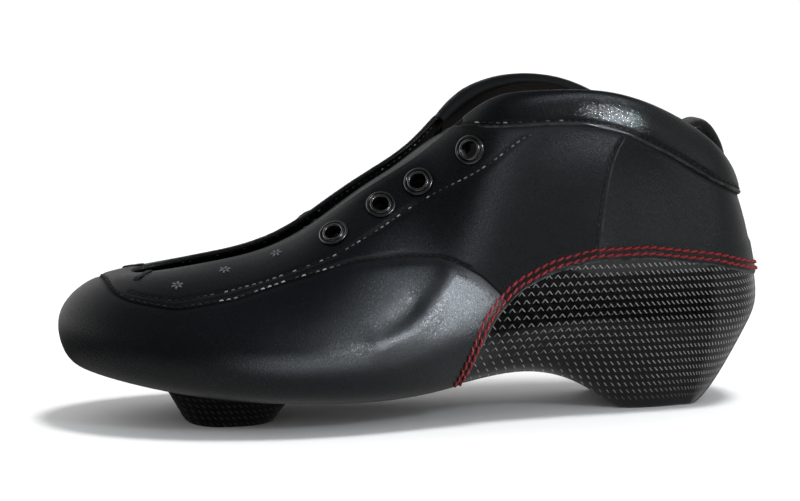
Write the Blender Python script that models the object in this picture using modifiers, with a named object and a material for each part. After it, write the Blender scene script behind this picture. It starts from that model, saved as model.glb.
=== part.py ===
"""Low-cut speed skating boot for the left foot, without laces and without a frame.

A leather upper is lasted over a moulded carbon shell, which ends in a front and a heel mounting block.
Metres, +Z up. The toe points to -X, the outer side of the foot faces -Y, and the boot stands on z = 0.
"""

import math
from collections import namedtuple

import bmesh
import bpy
import numpy as np
from mathutils import Matrix, Vector

MM = 0.001

# Driving sizes, in millimetres
LENGTH = 270.0
BALL_WIDTH = 96.0
COLLAR_HEIGHT = 122.5
MOUNT_SPACING = 165.0
SEAT_GAP = 0.3
LAYER_GAP = 0.55
RIM_GAP = 0.9

# Wall sizes, in millimetres
LEATHER = 1.5
COLLAR_PADDING = 4.5
FACING = 0.9
CUFF = 1.0
CUFF_SWELL = 0.8
CARBON = 2.2
CARBON_BELOW_LEATHER = 0.8
SHELL_OVERLAP = 8.0
INSOLE = 2.0
INSOLE_CLEARANCE = 1.2
TONGUE = 2.6

# Cross-sections of the last, ball to heel. along is a share of LENGTH in percent, measured from the toe.
# swing, foot, wall, hollow and edge are shares of BALL_WIDTH, and the heights are shares of COLLAR_HEIGHT.
# foot is the rim of the underside, wall the widest place and edge the throat or the collar.
# turn and crown are the roundness of the section below and above the wall. arch lifts the foot rim and rise
# the edge on the inner side of the foot. pitch is the spacing of the mesh, in millimetres, up to the next section.
Section = namedtuple("Section", "along swing foot foot_z arch turn wall wall_z hollow crown edge edge_z rise pitch")
SECTIONS = (
    Section(29.0, -0.5, 21.0, 7.2, 0.0, 2.3, 50.0, 24.0, 0.0, 1.55, 11.5, 53.8, 0.0, 12.0),
    Section(41.0, -3.0, 19.0, 6.2, 0.0, 2.2, 46.3, 26.0, 0.0, 1.35, 12.0, 70.0, 0.0, 12.0),
    Section(50.0, -3.0, 18.0, 7.8, 1.5, 2.0, 41.8, 29.0, 0.5, 1.35, 13.5, 82.6, 0.0, 3.5),
    Section(56.5, -2.0, 17.5, 10.3, 3.0, 1.8, 38.8, 32.0, 1.5, 1.70, 25.0, 95.6, -2.4, 7.0),
    Section(64.0, -1.0, 17.5, 12.0, 3.0, 1.6, 36.8, 34.5, 2.5, 2.40, 32.5, 99.4, 0.4, 12.0),
    Section(72.0, 0.0, 18.5, 7.0, 1.5, 1.4, 36.0, 36.0, 3.2, 2.80, 34.2, 99.0, 1.0, 12.0),
    Section(79.0, 0.0, 20.5, -1.5, 0.0, 1.35, 35.5, 36.0, 3.0, 2.80, 32.8, 95.4, -0.6, 12.0),
    Section(86.5, 0.0, 19.0, -1.8, 0.0, 1.35, 33.8, 35.0, 2.0, 2.20, 27.0, 87.6, -2.8, 12.0),
)

# The middle profiles of the toe and the heel, in the same shares. The plan columns are the roundness of each
# rim as seen from above. The blend columns say how soon the heights give way to those of the nearest section.
End = namedtuple(
    "End",
    "swing foot foot_z turn wall wall_z hollow crown edge edge_z foot_plan wall_plan edge_plan blend edge_blend",
)
TOE = End(7.0, 5.5, 15.5, 2.2, 0.0, 29.5, 0.0, 1.9, 10.0, 45.2, 2.0, 2.05, 3.2, 1.6, 0.75)
HEEL = End(0.0, 89.8, -1.8, 1.27, 99.6, 32.5, 0.0, 1.45, 93.5, 73.0, 2.6, 2.2, 2.1, 1.2, 1.25)
TOE_FAN = (75.0, 60.0, 45.0, 30.0, 15.0)
HEEL_FAN = (67.5, 45.0, 22.5)
LOWER_ANGLES = (0.0, 32.0, 62.0)
UPPER_ANGLES = (0.0, 24.0, 47.0, 69.0, 90.0)

# Lines drawn on the side view: along and height in the shares above
SidePoint = namedtuple("SidePoint", "along height")
LEATHER_EDGE = (
    SidePoint(50.0, -20.0), SidePoint(53.6, 10.0), SidePoint(55.6, 25.0), SidePoint(57.6, 33.0),
    SidePoint(61.0, 40.0), SidePoint(66.0, 45.0), SidePoint(72.0, 47.8), SidePoint(80.0, 48.0),
    SidePoint(90.0, 45.0), SidePoint(100.0, 39.0),
)
FACING_SEAM = (
    SidePoint(4.6, 90.0), SidePoint(5.2, 43.0), SidePoint(8.0, 39.6), SidePoint(14.0, 37.8),
    SidePoint(22.0, 41.0), SidePoint(30.0, 46.6), SidePoint(38.0, 51.4), SidePoint(45.0, 52.8),
    SidePoint(50.0, 52.0), SidePoint(55.0, 46.0), SidePoint(59.0, 37.6), SidePoint(61.0, 20.0),
)
CUFF_LINE = (
    SidePoint(45.0, 88.6), SidePoint(58.0, 89.0), SidePoint(66.0, 89.6), SidePoint(70.0, 89.4),
    SidePoint(76.0, 86.4), SidePoint(83.0, 79.0), SidePoint(90.0, 70.2), SidePoint(97.5, 63.2),
)
SHELL_LIP = (
    SidePoint(0.0, 26.0), SidePoint(12.0, 20.0), SidePoint(25.0, 16.5), SidePoint(40.0, 16.0), SidePoint(55.0, 21.0),
)
FOOTBED = (
    SidePoint(2.0, 22.0), SidePoint(8.0, 17.4), SidePoint(16.0, 14.0), SidePoint(28.0, 11.8), SidePoint(40.0, 11.4),
    SidePoint(55.0, 14.8), SidePoint(68.0, 18.0), SidePoint(80.0, 20.0), SidePoint(100.0, 20.4),
)
LASTING_MARGIN = 0.07
COUNTER_SEAM_FOOT, COUNTER_SEAM_HEAD = 72.6, 76.6
CUFF_FRONT, CUFF_CLEARANCE, FACING_SETBACK = 54.0, 0.014, 0.005

# Mounting blocks under the shell, in millimetres
BLOCK_TOP_LENGTH, BLOCK_FLAT_LENGTH, BLOCK_TOP_SHIFT = 48.0, 31.0, 1.5
BLOCK_TOP_WIDTH, BLOCK_FLAT_WIDTH = 46.0, 36.0
HEEL_BLOCK_AT = 83.9
BLOCK_PLAN, BLOCK_SIDES = 2.6, 24
BlockStep = namedtuple("BlockStep", "spread height")
BLOCK_STEPS = (
    BlockStep(0.0, 0.0), BlockStep(0.16, 0.9), BlockStep(0.42, 4.2), BlockStep(0.72, 8.0), BlockStep(1.0, 12.5),
)

# Eyelets, in millimetres, and their places along the lacing row. lift clears a hollow in the leather.
EYELET_FLANGE, EYELET_HOLE, EYELET_BARREL, EYELET_LIP = 5.4, 2.9, 3.5, 4.4
EYELET_FLANGE_THICK, EYELET_BACK_GAP = 0.9, 1.1
EYELET_BEVEL, EYELET_ROLL = 0.8, 0.6
EyeletPlace = namedtuple("EyeletPlace", "along drop lift")
EYELETS = (
    EyeletPlace(36.0, 11.8, 0.0), EyeletPlace(42.6, 11.5, 0.0), EyeletPlace(48.0, 11.5, 0.7),
    EyeletPlace(54.5, 13.5, 0.0),
)
EYELET_SIDES, EYELET_TURN = 12, math.radians(16.0)
DRILL_DEPTH = 16.0

# Tongue, in millimetres but for its shares of the length and of the section
TONGUE_FRONT, TONGUE_TOP, TONGUE_TUCK = 11.5, 53.5, 0.16
TONGUE_CLEARANCE, TONGUE_CREST = 2.4, 2.0
TONGUE_TOE_SHIFT = (-7.0, 0.0, -3.0)
TONGUE_ROWS, TONGUE_COLUMNS = 15, 9

# Heel pull loop, in millimetres, with its path measured from the back of the collar edge
LOOP_WIDTH, LOOP_THICK, LOOP_ROWS = 13.0, 2.4, 17
LoopPoint = namedtuple("LoopPoint", "back up")
LOOP_PATH = (
    LoopPoint(1.2, -9.4), LoopPoint(-5.4, -3.6), LoopPoint(-12.5, 3.0), LoopPoint(-15.5, 10.0),
    LoopPoint(-12.0, 15.5), LoopPoint(-6.5, 17.0), LoopPoint(-1.8, 12.2), LoopPoint(0.8, 6.4), LoopPoint(1.5, 2.2),
)

# Grid counts
END_PITCH = 12.0
UPPER_ROWS, FACING_ROWS, CUFF_ROWS = 7, 4, 3
SHELL_ROWS, LIP_ROWS, BED_ROWS, BRIDGE_STEPS = 5, 3, 3, 3

COLOURS = {
    "leather": ((0.012, 0.013, 0.015), 0.38, 0.0),
    "carbon": ((0.010, 0.010, 0.010), 0.15, 0.0),
    "lining": ((0.014, 0.012, 0.010), 0.85, 0.0),
    "metal": ((0.10, 0.10, 0.11), 0.25, 1.0),
    "webbing": ((0.012, 0.012, 0.012), 0.9, 0.0),
}


def spline_weights(knots, at, period=0.0):
    """Rows of weights that read a smooth cubic through values at the knots, closed where a period is given."""
    count = len(knots)
    stops = np.append(knots, knots[0] + period) if period else np.asarray(knots, float)
    gaps = np.diff(stops)
    stiff = np.eye(count)
    pull = np.zeros((count, count))
    for i in range(count) if period else range(1, count - 1):
        before, after, follower = gaps[i - 1], gaps[i], (i + 1) % count
        stiff[i, i] = (before + after) / 3
        stiff[i, i - 1] = before / 6
        stiff[i, follower] = after / 6
        pull[i, i - 1] = 1 / before
        pull[i, i] = -1 / before - 1 / after
        pull[i, follower] = 1 / after
    bend = np.linalg.solve(stiff, pull)
    place = stops[0] + np.mod(at - stops[0], period) if period else np.asarray(at, float)
    span = np.clip(np.searchsorted(stops, place, side="right") - 1, 0, len(gaps) - 1)
    follower = (span + 1) % count
    share = (place - stops[span]) / gaps[span]
    rest = 1 - share
    square = gaps[span] ** 2 / 6
    weights = np.zeros((len(place), count))
    rows = np.arange(len(place))
    weights[rows, span] += rest
    weights[rows, follower] += share
    weights += ((rest**3 - rest) * square)[:, None] * bend[span]
    weights += ((share**3 - share) * square)[:, None] * bend[follower]
    return weights


def x_at(along):
    """Millimetres along X of a share of the length, with the length centred on the origin."""
    return (np.asarray(along, float) / 100 - 0.5) * LENGTH


def wide(share):
    return np.asarray(share, float) / 100 * BALL_WIDTH


def high(share):
    return np.asarray(share, float) / 100 * COLLAR_HEIGHT


def section_net(foot, wall, edge, middle, turn, crown, hollow):
    """Control points up one side of a section, through the points on its foot rim, wall and edge."""
    low = np.radians(LOWER_ANGLES)[:, None]
    up = np.radians(UPPER_ANGLES)[:, None]
    out, rise = np.sin(low) ** (2 / turn), 1 - np.cos(low) ** (2 / turn)
    back, climb = 1 - np.cos(up) ** (2 / crown), np.sin(up) ** (2 / crown)
    lower = foot + (wall - foot) * np.hstack([out, out, rise])
    upper = wall + (edge - wall) * np.hstack([back, back, climb])
    inward = (middle - wall) * (1, 1, 0)
    upper += inward / np.linalg.norm(inward) * hollow * np.sin(np.pi * climb) ** 2
    return np.vstack([lower, upper])


def side_net(section, side):
    """A straight section: side is -1 for the outer side of the foot and 1 for the inner."""
    arch, rise = (section.arch, section.rise) if side > 0 else (0.0, 0.0)
    x, middle = x_at(section.along), wide(section.swing)
    halves = (section.foot, section.wall, section.edge)
    heights = (section.foot_z + arch, section.wall_z, section.edge_z + rise)
    rims = (np.array([x, middle + side * wide(half), high(z)]) for half, z in zip(halves, heights))
    return section_net(*rims, np.array([x, middle, 0]), section.turn, section.crown, wide(section.hollow))


def fan_net(end, section, angle, side):
    """A section swung round the toe or the heel: angle 0 is the middle profile and 90 the straight section."""
    cosine, sine = math.cos(math.radians(angle)), math.sin(math.radians(angle))
    pivot = x_at(section.along)
    reach = x_at(end.wall) - pivot

    def mixed(name, share):
        return getattr(end, name) * share + getattr(section, name) * (1 - share)

    def rim(name, blend):
        plan = 2 / getattr(end, name + "_plan")
        share = cosine**plan
        forward = (x_at(getattr(end, name)) - pivot) * share
        swing = section.swing + (end.swing - section.swing) * forward / reach
        y = wide(swing) + side * wide(getattr(section, name)) * sine**plan
        return np.array([pivot + forward, y, high(mixed(name + "_z", share**blend))])

    rims = (rim("foot", end.blend), rim("wall", end.blend), rim("edge", end.edge_blend))
    middle = np.array([pivot, wide(section.swing), 0])
    turn, crown, hollow = (mixed(name, cosine**end.blend) for name in ("turn", "crown", "hollow"))
    return section_net(*rims, middle, turn, crown, wide(hollow))


def control_net():
    """All sections in order: toe, outer side, heel and back along the inner side."""
    fore, aft = SECTIONS[0], SECTIONS[-1]
    outer = [fan_net(TOE, fore, angle, -1) for angle in TOE_FAN[::-1]]
    outer += [side_net(section, -1) for section in SECTIONS]
    outer += [fan_net(HEEL, aft, angle, -1) for angle in HEEL_FAN]
    inner = [fan_net(HEEL, aft, angle, 1) for angle in HEEL_FAN[::-1]]
    inner += [side_net(section, 1) for section in SECTIONS[::-1]]
    inner += [fan_net(TOE, fore, angle, 1) for angle in TOE_FAN]
    return np.array([fan_net(TOE, fore, 0, 1), *outer, fan_net(HEEL, aft, 0, 1), *inner])


class Last:
    """The outer skin of the boot: u runs round it from the toe (0) by the outer side to the heel (0.5) and back.

    v runs up each section, from the foot rim (0) to the throat or collar edge (1).
    """

    STEP = 1e-3

    def __init__(self):
        self.net = control_net()
        stations, levels = self.net.shape[:2]
        wall = self.net[:, len(LOWER_ANGLES)]
        spans = np.linalg.norm(np.roll(wall, -1, axis=0) - wall, axis=1)
        spans = (spans + spans[::-1]) / 2
        self.girth = spans.sum()
        self.u_knots = np.concatenate([[0], np.cumsum(spans)[:-1]]) / self.girth
        self.v_knots = np.linspace(0, 1, levels)

    def point(self, u, v):
        """Points of the skin, in millimetres, for arrays of u and v of one shape."""
        u, v = np.broadcast_arrays(np.asarray(u, float), np.asarray(v, float))
        along = spline_weights(self.u_knots, u.ravel(), 1.0)
        up = spline_weights(self.v_knots, v.ravel())
        return np.einsum("ks,kl,sld->kd", along, up, self.net).reshape(*u.shape, 3)

    def normal(self, u, v):
        across = self.point(u + self.STEP, v) - self.point(u - self.STEP, v)
        upward = self.point(u, np.minimum(v + self.STEP, 1)) - self.point(u, np.maximum(v - self.STEP, 0))
        normal = np.cross(across, upward)
        return normal / np.linalg.norm(normal, axis=-1, keepdims=True)

    def skin(self, u, v, lift=0.0):
        """Points lifted off the skin along its normal: outwards where lift is above 0."""
        u, v = np.broadcast_arrays(np.asarray(u, float), np.asarray(v, float))
        return self.point(u, v) + np.asarray(lift)[..., None] * self.normal(u, v)

    def v_on_line(self, u, line, lift=0.0):
        """Where each section, lifted off the skin, first rises above a line of the side view."""
        u = np.asarray(u, float)
        v = np.linspace(0, 1, 241)
        places = self.skin(u[:, None], v[None, :], lift)
        along, height = x_at([p.along for p in line]), high([p.height for p in line])
        above = places[..., 2] - np.interp(places[..., 0], along, height)
        crossed = above > 0
        first = np.where(crossed.any(axis=1), crossed.argmax(axis=1), len(v) - 1)
        before = np.maximum(first - 1, 0)
        rows = np.arange(len(u))
        low, top = above[rows, before], above[rows, first]
        share = np.where(top > low, np.clip(-low / np.where(top > low, top - low, 1), 0, 1), 1)
        return v[before] + share * (v[first] - v[before])

    def v_up_from(self, u, start, distance):
        """The v that lies a distance in millimetres up each section from a starting v."""
        ends = []
        for place, low in zip(np.asarray(u, float), start):
            v = np.linspace(low, 1, 81)
            steps = np.linalg.norm(np.diff(self.point(place, v), axis=0), axis=1)
            ends.append(np.interp(distance, np.concatenate([[0], np.cumsum(steps)]), v))
        return np.array(ends)

    def u_at(self, along, v=0.5):
        """The u on the outer side where the skin passes a share of the length."""
        u = np.linspace(0.02, 0.48, 461)
        return float(np.interp(x_at(along), self.point(u, v)[:, 0], u))

    def columns(self):
        """u values spread evenly between the sections, closed round the boot, the same on both sides."""
        pitches = [END_PITCH] * (len(TOE_FAN) + 1) + [section.pitch for section in SECTIONS[:-1]]
        pitches += [END_PITCH] * (len(HEEL_FAN) + 1)
        stops = np.append(self.u_knots, 1.0)
        counts = np.ceil(np.diff(stops) * self.girth / (pitches + pitches[::-1])).astype(int)
        return np.concatenate([np.linspace(a, b, n, endpoint=False) for a, b, n in zip(stops, stops[1:], counts)])


LAST = Last()


def leather_edge_v(u):
    """The lower edge of the upper: the lasting margin under the forefoot, and the stitched line round the heel."""
    return np.maximum(LAST.v_on_line(u, LEATHER_EDGE), LASTING_MARGIN)


def leather_wall(u, v):
    """Thickness of the upper: one leather, swelling to the padding at the collar."""
    cuff = LAST.v_on_line(u, CUFF_LINE)[:, None]
    height = np.clip((v - cuff) / np.maximum(1 - cuff, 0.02), 0, 1)
    padded = np.where(1 - cuff > 0.02, np.sin(np.pi * np.clip(height, 0, 0.75) / 1.5), 0)
    return LEATHER + (COLLAR_PADDING - LEATHER) * padded


def new_object(name, mesh, colour, collection, root):
    mesh.materials.append(bpy.data.materials[colour])
    mesh.shade_smooth()
    mesh.set_sharp_from_angle(angle=math.radians(40))
    obj = bpy.data.objects.new(name, mesh)
    collection.objects.link(obj)
    obj.parent = root
    return obj


def finished(name, form):
    bmesh.ops.recalc_face_normals(form, faces=form.faces)
    mesh = bpy.data.meshes.new(name)
    form.to_mesh(mesh)
    form.free()
    return mesh


def split_quad(form, corners, flipped):
    """Two triangles over four corners, split from the first corner, or from the second if flipped."""
    if flipped:
        corners = corners[1:] + corners[:1]
    form.faces.new(corners[:3])
    form.faces.new((corners[0], *corners[2:]))


def band(form, rings, joined=False):
    """Closed rings of points, in millimetres, skinned one to the next, and the last to the first if joined.

    The quads are split so that the two sides of the boot mirror each other.
    """
    loops = [[form.verts.new(point * MM) for point in ring] for ring in rings]
    for low, top in zip(loops, loops[1:] + loops[:1] if joined else loops[1:]):
        for j, right in enumerate([*range(1, len(low)), 0]):
            split_quad(form, [low[j], low[right], top[right], top[j]], j >= len(low) // 2)
    return loops


def hollow_band(name, rings):
    """A wall open at both ends: rings up one face and down the other."""
    form = bmesh.new()
    band(form, rings, joined=True)
    return finished(name, form)


def pillar(name, rings):
    """A solid with a flat face on its first and its last ring."""
    form = bmesh.new()
    loops = band(form, rings)
    for loop in (loops[0], loops[-1]):
        form.faces.new(loop)
    return finished(name, form)


def tray(name, rings):
    """A solid whose first and last ring are bridged from the outer side of the foot to the inner."""
    form = bmesh.new()
    loops = band(form, rings)
    share = np.linspace(0, 1, BRIDGE_STEPS + 1)[1:-1, None]
    for loop, ring in ((loops[0], rings[0]), (loops[-1], rings[-1])):
        half = len(ring) // 2
        rows = []
        for i in range(1, half):
            between = ring[i] * (1 - share) + ring[-i] * share
            rows.append([loop[i], *(form.verts.new(point * MM) for point in between), loop[-i]])
        for fore, aft in zip(rows, rows[1:]):
            for k in range(BRIDGE_STEPS):
                form.faces.new((fore[k], fore[k + 1], aft[k + 1], aft[k]))
        for tip, row in ((loop[0], rows[0]), (loop[half], rows[-1])):
            for k in range(BRIDGE_STEPS):
                form.faces.new((tip, row[k], row[k + 1]))
    return finished(name, form)


def grid(form, points, flipped=None):
    """An open sheet over a grid of points in millimetres. flipped says which rows of quads are split the other way."""
    verts = [[form.verts.new(point * MM) for point in row] for row in points]
    for i, (low, top) in enumerate(zip(verts, verts[1:])):
        for j in range(len(low) - 1):
            split_quad(form, [low[j], low[j + 1], top[j + 1], top[j]], flipped is not None and flipped[i])
    return verts


def rim_of(verts):
    """The border of a grid of vertices, in order."""
    inner = verts[1:-1]
    return verts[0] + [row[-1] for row in inner] + verts[-1][::-1] + [row[0] for row in inner[::-1]]


def panel(name, u, v, top):
    """A closed sheet of leather over a grid of u and v, from the layer gap off the skin up to top."""
    form = bmesh.new()
    inner_side = np.mod(u[:-1, 0], 1) >= 0.5
    inside = rim_of(grid(form, LAST.skin(u, v, LAYER_GAP), inner_side))
    outside = rim_of(grid(form, LAST.skin(u, v, top), inner_side))
    for a, b, c, d in zip(inside, inside[1:] + inside[:1], outside[1:] + outside[:1], outside):
        form.faces.new((a, b, c, d))
    return finished(name, form)


def thick_sheet(name, points, thickness, colour, parts, root):
    """An open sheet given its thickness on both sides by Solidify."""
    form = bmesh.new()
    grid(form, points)
    sheet = new_object(name, finished(name, form), colour, parts, root)
    wall = sheet.modifiers.new("thickness", "SOLIDIFY")
    wall.thickness = thickness * MM
    wall.offset = 0
    return sheet


def boolean(target, operation, other):
    other.hide_render = True
    other.display_type = "WIRE"
    modifier = target.modifiers.new(other.name, "BOOLEAN")
    modifier.operation = operation
    modifier.object = other


def lip_v(u):
    """Rows from the lower edge of the leather up to the hidden lip of the shell, shared by both."""
    edge = leather_edge_v(u)
    lip = np.maximum(LAST.v_up_from(u, edge, SHELL_OVERLAP), LAST.v_on_line(u, SHELL_LIP))
    return edge[:, None] + (lip - edge)[:, None] * np.linspace(0, 1, LIP_ROWS + 1)


def shell_rings(u):
    """Rings of the carbon shell: the foot rim, up the outside, over the hidden lip and down to the footbed."""
    rows = lip_v(u).T
    rebate = rows[0] - RIM_GAP / COLLAR_HEIGHT
    hidden = -(LEATHER + SEAT_GAP)
    rings = [LAST.skin(u, rebate * share, -CARBON_BELOW_LEATHER) for share in np.linspace(0, 1, SHELL_ROWS + 1)]
    rings += [LAST.skin(u, v, hidden) for v in (rebate, *rows[1:])]
    bed = LAST.v_on_line(u, FOOTBED, hidden - CARBON)
    down = np.linspace(0, 1, BED_ROWS + 1)
    rings += [LAST.skin(u, rows[-1] + (bed - rows[-1]) * share, hidden - CARBON) for share in down]
    rings = np.array(rings)
    rings[..., 2] = np.maximum(rings[..., 2], 0)
    return rings


def front_block():
    """Rings of the mounting block under the ball, round-ended in plan and tapered to its flat foot on the floor."""
    turns = np.linspace(0, 2 * np.pi, BLOCK_SIDES, endpoint=False)
    circle = np.stack([np.cos(turns), np.sin(turns)], -1)
    circle /= (np.abs(circle) ** BLOCK_PLAN).sum(axis=1, keepdims=True) ** (1 / BLOCK_PLAN)
    rings = []
    for step in BLOCK_STEPS:
        length = BLOCK_FLAT_LENGTH + (BLOCK_TOP_LENGTH - BLOCK_FLAT_LENGTH) * step.spread
        width = BLOCK_FLAT_WIDTH + (BLOCK_TOP_WIDTH - BLOCK_FLAT_WIDTH) * step.spread
        x = x_at(HEEL_BLOCK_AT) - MOUNT_SPACING + BLOCK_TOP_SHIFT * step.spread + circle[:, 0] * length / 2
        y = wide(SECTIONS[0].swing) + circle[:, 1] * width / 2
        rings.append(np.stack([x, y, np.full(len(turns), step.height)], -1))
    return rings


def make_shell(parts, helpers, root):
    shell = new_object("carbon_shell", tray("carbon_shell", shell_rings(LAST.columns())), "carbon", parts, root)
    block = new_object("front_block", pillar("front_block", front_block()), "carbon", helpers, root)
    boolean(shell, "UNION", block)


def make_insole(parts, root):
    """The removable footbed, resting on the shell inside the upper."""
    bed = shell_rings(LAST.columns())[-1]
    along = np.roll(bed, -1, axis=0) - np.roll(bed, 1, axis=0)
    inward = np.stack([-along[:, 1], along[:, 0], np.zeros(len(bed))], -1)
    inward /= np.linalg.norm(inward, axis=1, keepdims=True)
    low = bed + inward * INSOLE_CLEARANCE + (0, 0, SEAT_GAP)
    new_object("insole", tray("insole", [low, low + (0, 0, INSOLE)]), "lining", parts, root)


def eyelet_spots():
    """u and v of the eyelet centres on the outer side, each a drop down its section from the throat edge."""
    v = np.linspace(0.5, 1, 201)
    spots = []
    for place in EYELETS:
        u = LAST.u_at(place.along, 0.9)
        reach = np.linalg.norm(LAST.point(u, v) - LAST.point(u, 1.0), axis=1)
        spots.append((u, v[np.abs(reach - place.drop).argmin()]))
    return np.array(spots).T


def eyelet_frames():
    """Name and matrix of each eyelet: +Z points out of the leather."""
    u, v = eyelet_spots()
    lift = np.array([place.lift for place in EYELETS])
    for side, at in (("outer", u), ("inner", 1 - u)):
        for number, (centre, out) in enumerate(zip(LAST.skin(at, v, lift), LAST.normal(at, v)), start=1):
            tilt = Vector(out).to_track_quat("Z", "X").to_matrix().to_4x4()
            turn = Matrix.Rotation(EYELET_TURN, 4, "Z")
            yield f"eyelet_{side}_{number}", Matrix.Translation(Vector(centre) * MM) @ tilt @ turn


def eyelet_profile():
    """Radius and height of an eyelet's outline: over its flange, down its barrel, round its rolled lip and up its bore."""
    seat = FACING + LAYER_GAP + SEAT_GAP
    back = -(LEATHER + EYELET_BACK_GAP)
    top = seat + EYELET_FLANGE_THICK
    return (
        (EYELET_HOLE, top), (EYELET_FLANGE - EYELET_BEVEL, top), (EYELET_FLANGE, seat), (EYELET_BARREL, seat),
        (EYELET_BARREL, back), (EYELET_LIP, back), (EYELET_HOLE, back - EYELET_ROLL),
    )


def turned(name, profile, parts, root):
    """A ring turned from a closed profile by the Screw modifier."""
    form = bmesh.new()
    points = [form.verts.new((radius * MM, 0, height * MM)) for radius, height in profile]
    for a, b in zip(points, points[1:] + points[:1]):
        form.edges.new((a, b))
    mesh = bpy.data.meshes.new(name)
    form.to_mesh(mesh)
    form.free()
    ring = new_object(name, mesh, "metal", parts, root)
    screw = ring.modifiers.new("turn", "SCREW")
    screw.steps = screw.render_steps = EYELET_SIDES
    screw.use_merge_vertices = True
    screw.merge_threshold = 1e-6
    return ring


def drill(name, radius, helpers, root):
    form = bmesh.new()
    bmesh.ops.create_cone(
        form, cap_ends=True, segments=EYELET_SIDES, radius1=radius * MM, radius2=radius * MM, depth=DRILL_DEPTH * MM,
    )
    return new_object(name, finished(name, form), "metal", helpers, root)


def make_eyelets(parts, helpers, root, walls):
    for name, matrix in eyelet_frames():
        turned(name, eyelet_profile(), parts, root).matrix_local = matrix
        hole = drill(name + "_hole", EYELET_BARREL + SEAT_GAP, helpers, root)
        hole.matrix_local = matrix
        for wall in walls:
            boolean(wall, "DIFFERENCE", hole)


def make_upper(parts, root):
    """The lasted leather wall, open underneath, at the throat and at the collar."""
    u = LAST.columns()
    low = lip_v(u)
    above = low[:, -1:] + (1 - low[:, -1:]) * np.linspace(0, 1, UPPER_ROWS + 1)[1:]
    v = np.hstack([low, above])
    outside = LAST.skin(u[:, None], v)
    inside = LAST.skin(u[:, None], v, -leather_wall(u, v))
    rings = np.concatenate([outside, inside[:, ::-1]], axis=1).transpose(1, 0, 2)
    return new_object("upper", hollow_band("upper", rings), "leather", parts, root)


def make_facing(parts, root):
    """The eyelet facing and quarters, one panel sewn over the upper from seam to seam round the toe."""
    foot_u, head_u = LAST.u_at(COUNTER_SEAM_FOOT), LAST.u_at(COUNTER_SEAM_HEAD)
    columns = LAST.columns()
    side = np.append(columns[(columns > 0) & (columns < foot_u - 0.005)] / foot_u, 1.0)
    across = np.concatenate([-side[::-1], [0], side])
    share = np.linspace(0, 1, FACING_ROWS + 1)
    u = across[:, None] * (foot_u + (head_u - foot_u) * share)
    foot = np.maximum(LAST.v_on_line(u[:, 0], FACING_SEAM), leather_edge_v(u[:, 0]) + FACING_SETBACK)
    head = np.minimum(LAST.v_on_line(u[:, -1], CUFF_LINE) - CUFF_CLEARANCE, 1.0)
    v = foot[:, None] + (head - foot)[:, None] * share
    return new_object("facing", panel("facing", u, v, LAYER_GAP + FACING), "leather", parts, root)


def make_cuff(parts, root):
    """The padded collar band that laps over the upper round the ankle."""
    columns = LAST.columns()
    line = LAST.v_on_line(columns, CUFF_LINE)
    front = LAST.u_at(CUFF_FRONT, 0.9)
    behind = (columns > front) & (columns < 1 - front)
    u, low = columns[behind], line[behind]
    share = np.linspace(0, 1, CUFF_ROWS + 1)
    v = low[:, None] + (1 - low)[:, None] * share
    swell = LAYER_GAP + CUFF + CUFF_SWELL * np.sin(np.pi * share)
    new_object("cuff", panel("cuff", u[:, None], v, swell), "leather", parts, root)


def make_tongue(parts, root):
    """A thin padded tongue that bridges the throat, tucked under the vamp in front and ending at the collar."""
    u = np.linspace(LAST.u_at(TONGUE_FRONT, 1.0), LAST.u_at(TONGUE_TOP, 1.0), TONGUE_ROWS)
    depth = leather_wall(u, np.ones((TONGUE_ROWS, 1)))[:, 0] + TONGUE / 2 + TONGUE_CLEARANCE
    rows = []
    for place, deep in zip(u, depth):
        v = np.linspace(1 - TONGUE_TUCK, 1, 3)
        outer = LAST.skin(place, v, -deep)
        inner = LAST.skin(1 - place, v[::-1], -deep)
        crest = (outer[-1] + inner[0]) / 2 + (0, 0, TONGUE_CREST)
        stops = np.array([*outer, crest, *inner])
        rows.append(spline_weights(np.linspace(0, 1, len(stops)), np.linspace(0, 1, TONGUE_COLUMNS)) @ stops)
    rows.insert(0, rows[0] + TONGUE_TOE_SHIFT)
    thick_sheet("tongue", np.array(rows), TONGUE, "lining", parts, root)


def make_pull_loop(parts, root):
    """A webbing loop that stands over the back of the collar."""
    heel = LAST.point(0.5, 1.0)
    stops = np.array([(point.back, 0, point.up) for point in LOOP_PATH]) + heel * (1, 0, 1)
    line = spline_weights(np.arange(len(stops)), np.linspace(0, len(stops) - 1, LOOP_ROWS)) @ stops
    half = np.array([0, LOOP_WIDTH / 2, 0])
    thick_sheet("pull_loop", np.stack([line - half, line + half], 1), LOOP_THICK, "webbing", parts, root)


def make_materials():
    for name, (colour, roughness, metallic) in COLOURS.items():
        material = bpy.data.materials.new(name)
        material.use_nodes = True
        shader = material.node_tree.nodes["Principled BSDF"]
        shader.inputs["Base Color"].default_value = (*colour, 1)
        shader.inputs["Roughness"].default_value = roughness
        shader.inputs["Metallic"].default_value = metallic


def stand_centred(parts, root):
    """Moves the boot so that the middle of its box is over the origin."""
    corners = np.array([v.co for obj in parts.objects if obj.type == "MESH" and obj.parent is root
                        and not obj.name.startswith("eyelet") for v in obj.data.vertices])
    middle = (corners.min(axis=0) + corners.max(axis=0)) / 2
    root.location = (-middle[0], -middle[1], 0)


def main():
    for obj in list(bpy.data.objects):
        bpy.data.objects.remove(obj)
    make_materials()
    parts = bpy.data.collections.new("speed_skating_boot")
    helpers = bpy.data.collections.new("cutters")
    for collection in (parts, helpers):
        bpy.context.scene.collection.children.link(collection)
    root = bpy.data.objects.new("boot", None)
    parts.objects.link(root)
    make_shell(parts, helpers, root)
    make_insole(parts, root)
    upper = make_upper(parts, root)
    facing = make_facing(parts, root)
    make_cuff(parts, root)
    make_eyelets(parts, helpers, root, (upper, facing))
    make_tongue(parts, root)
    make_pull_loop(parts, root)
    stand_centred(parts, root)


main()
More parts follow.
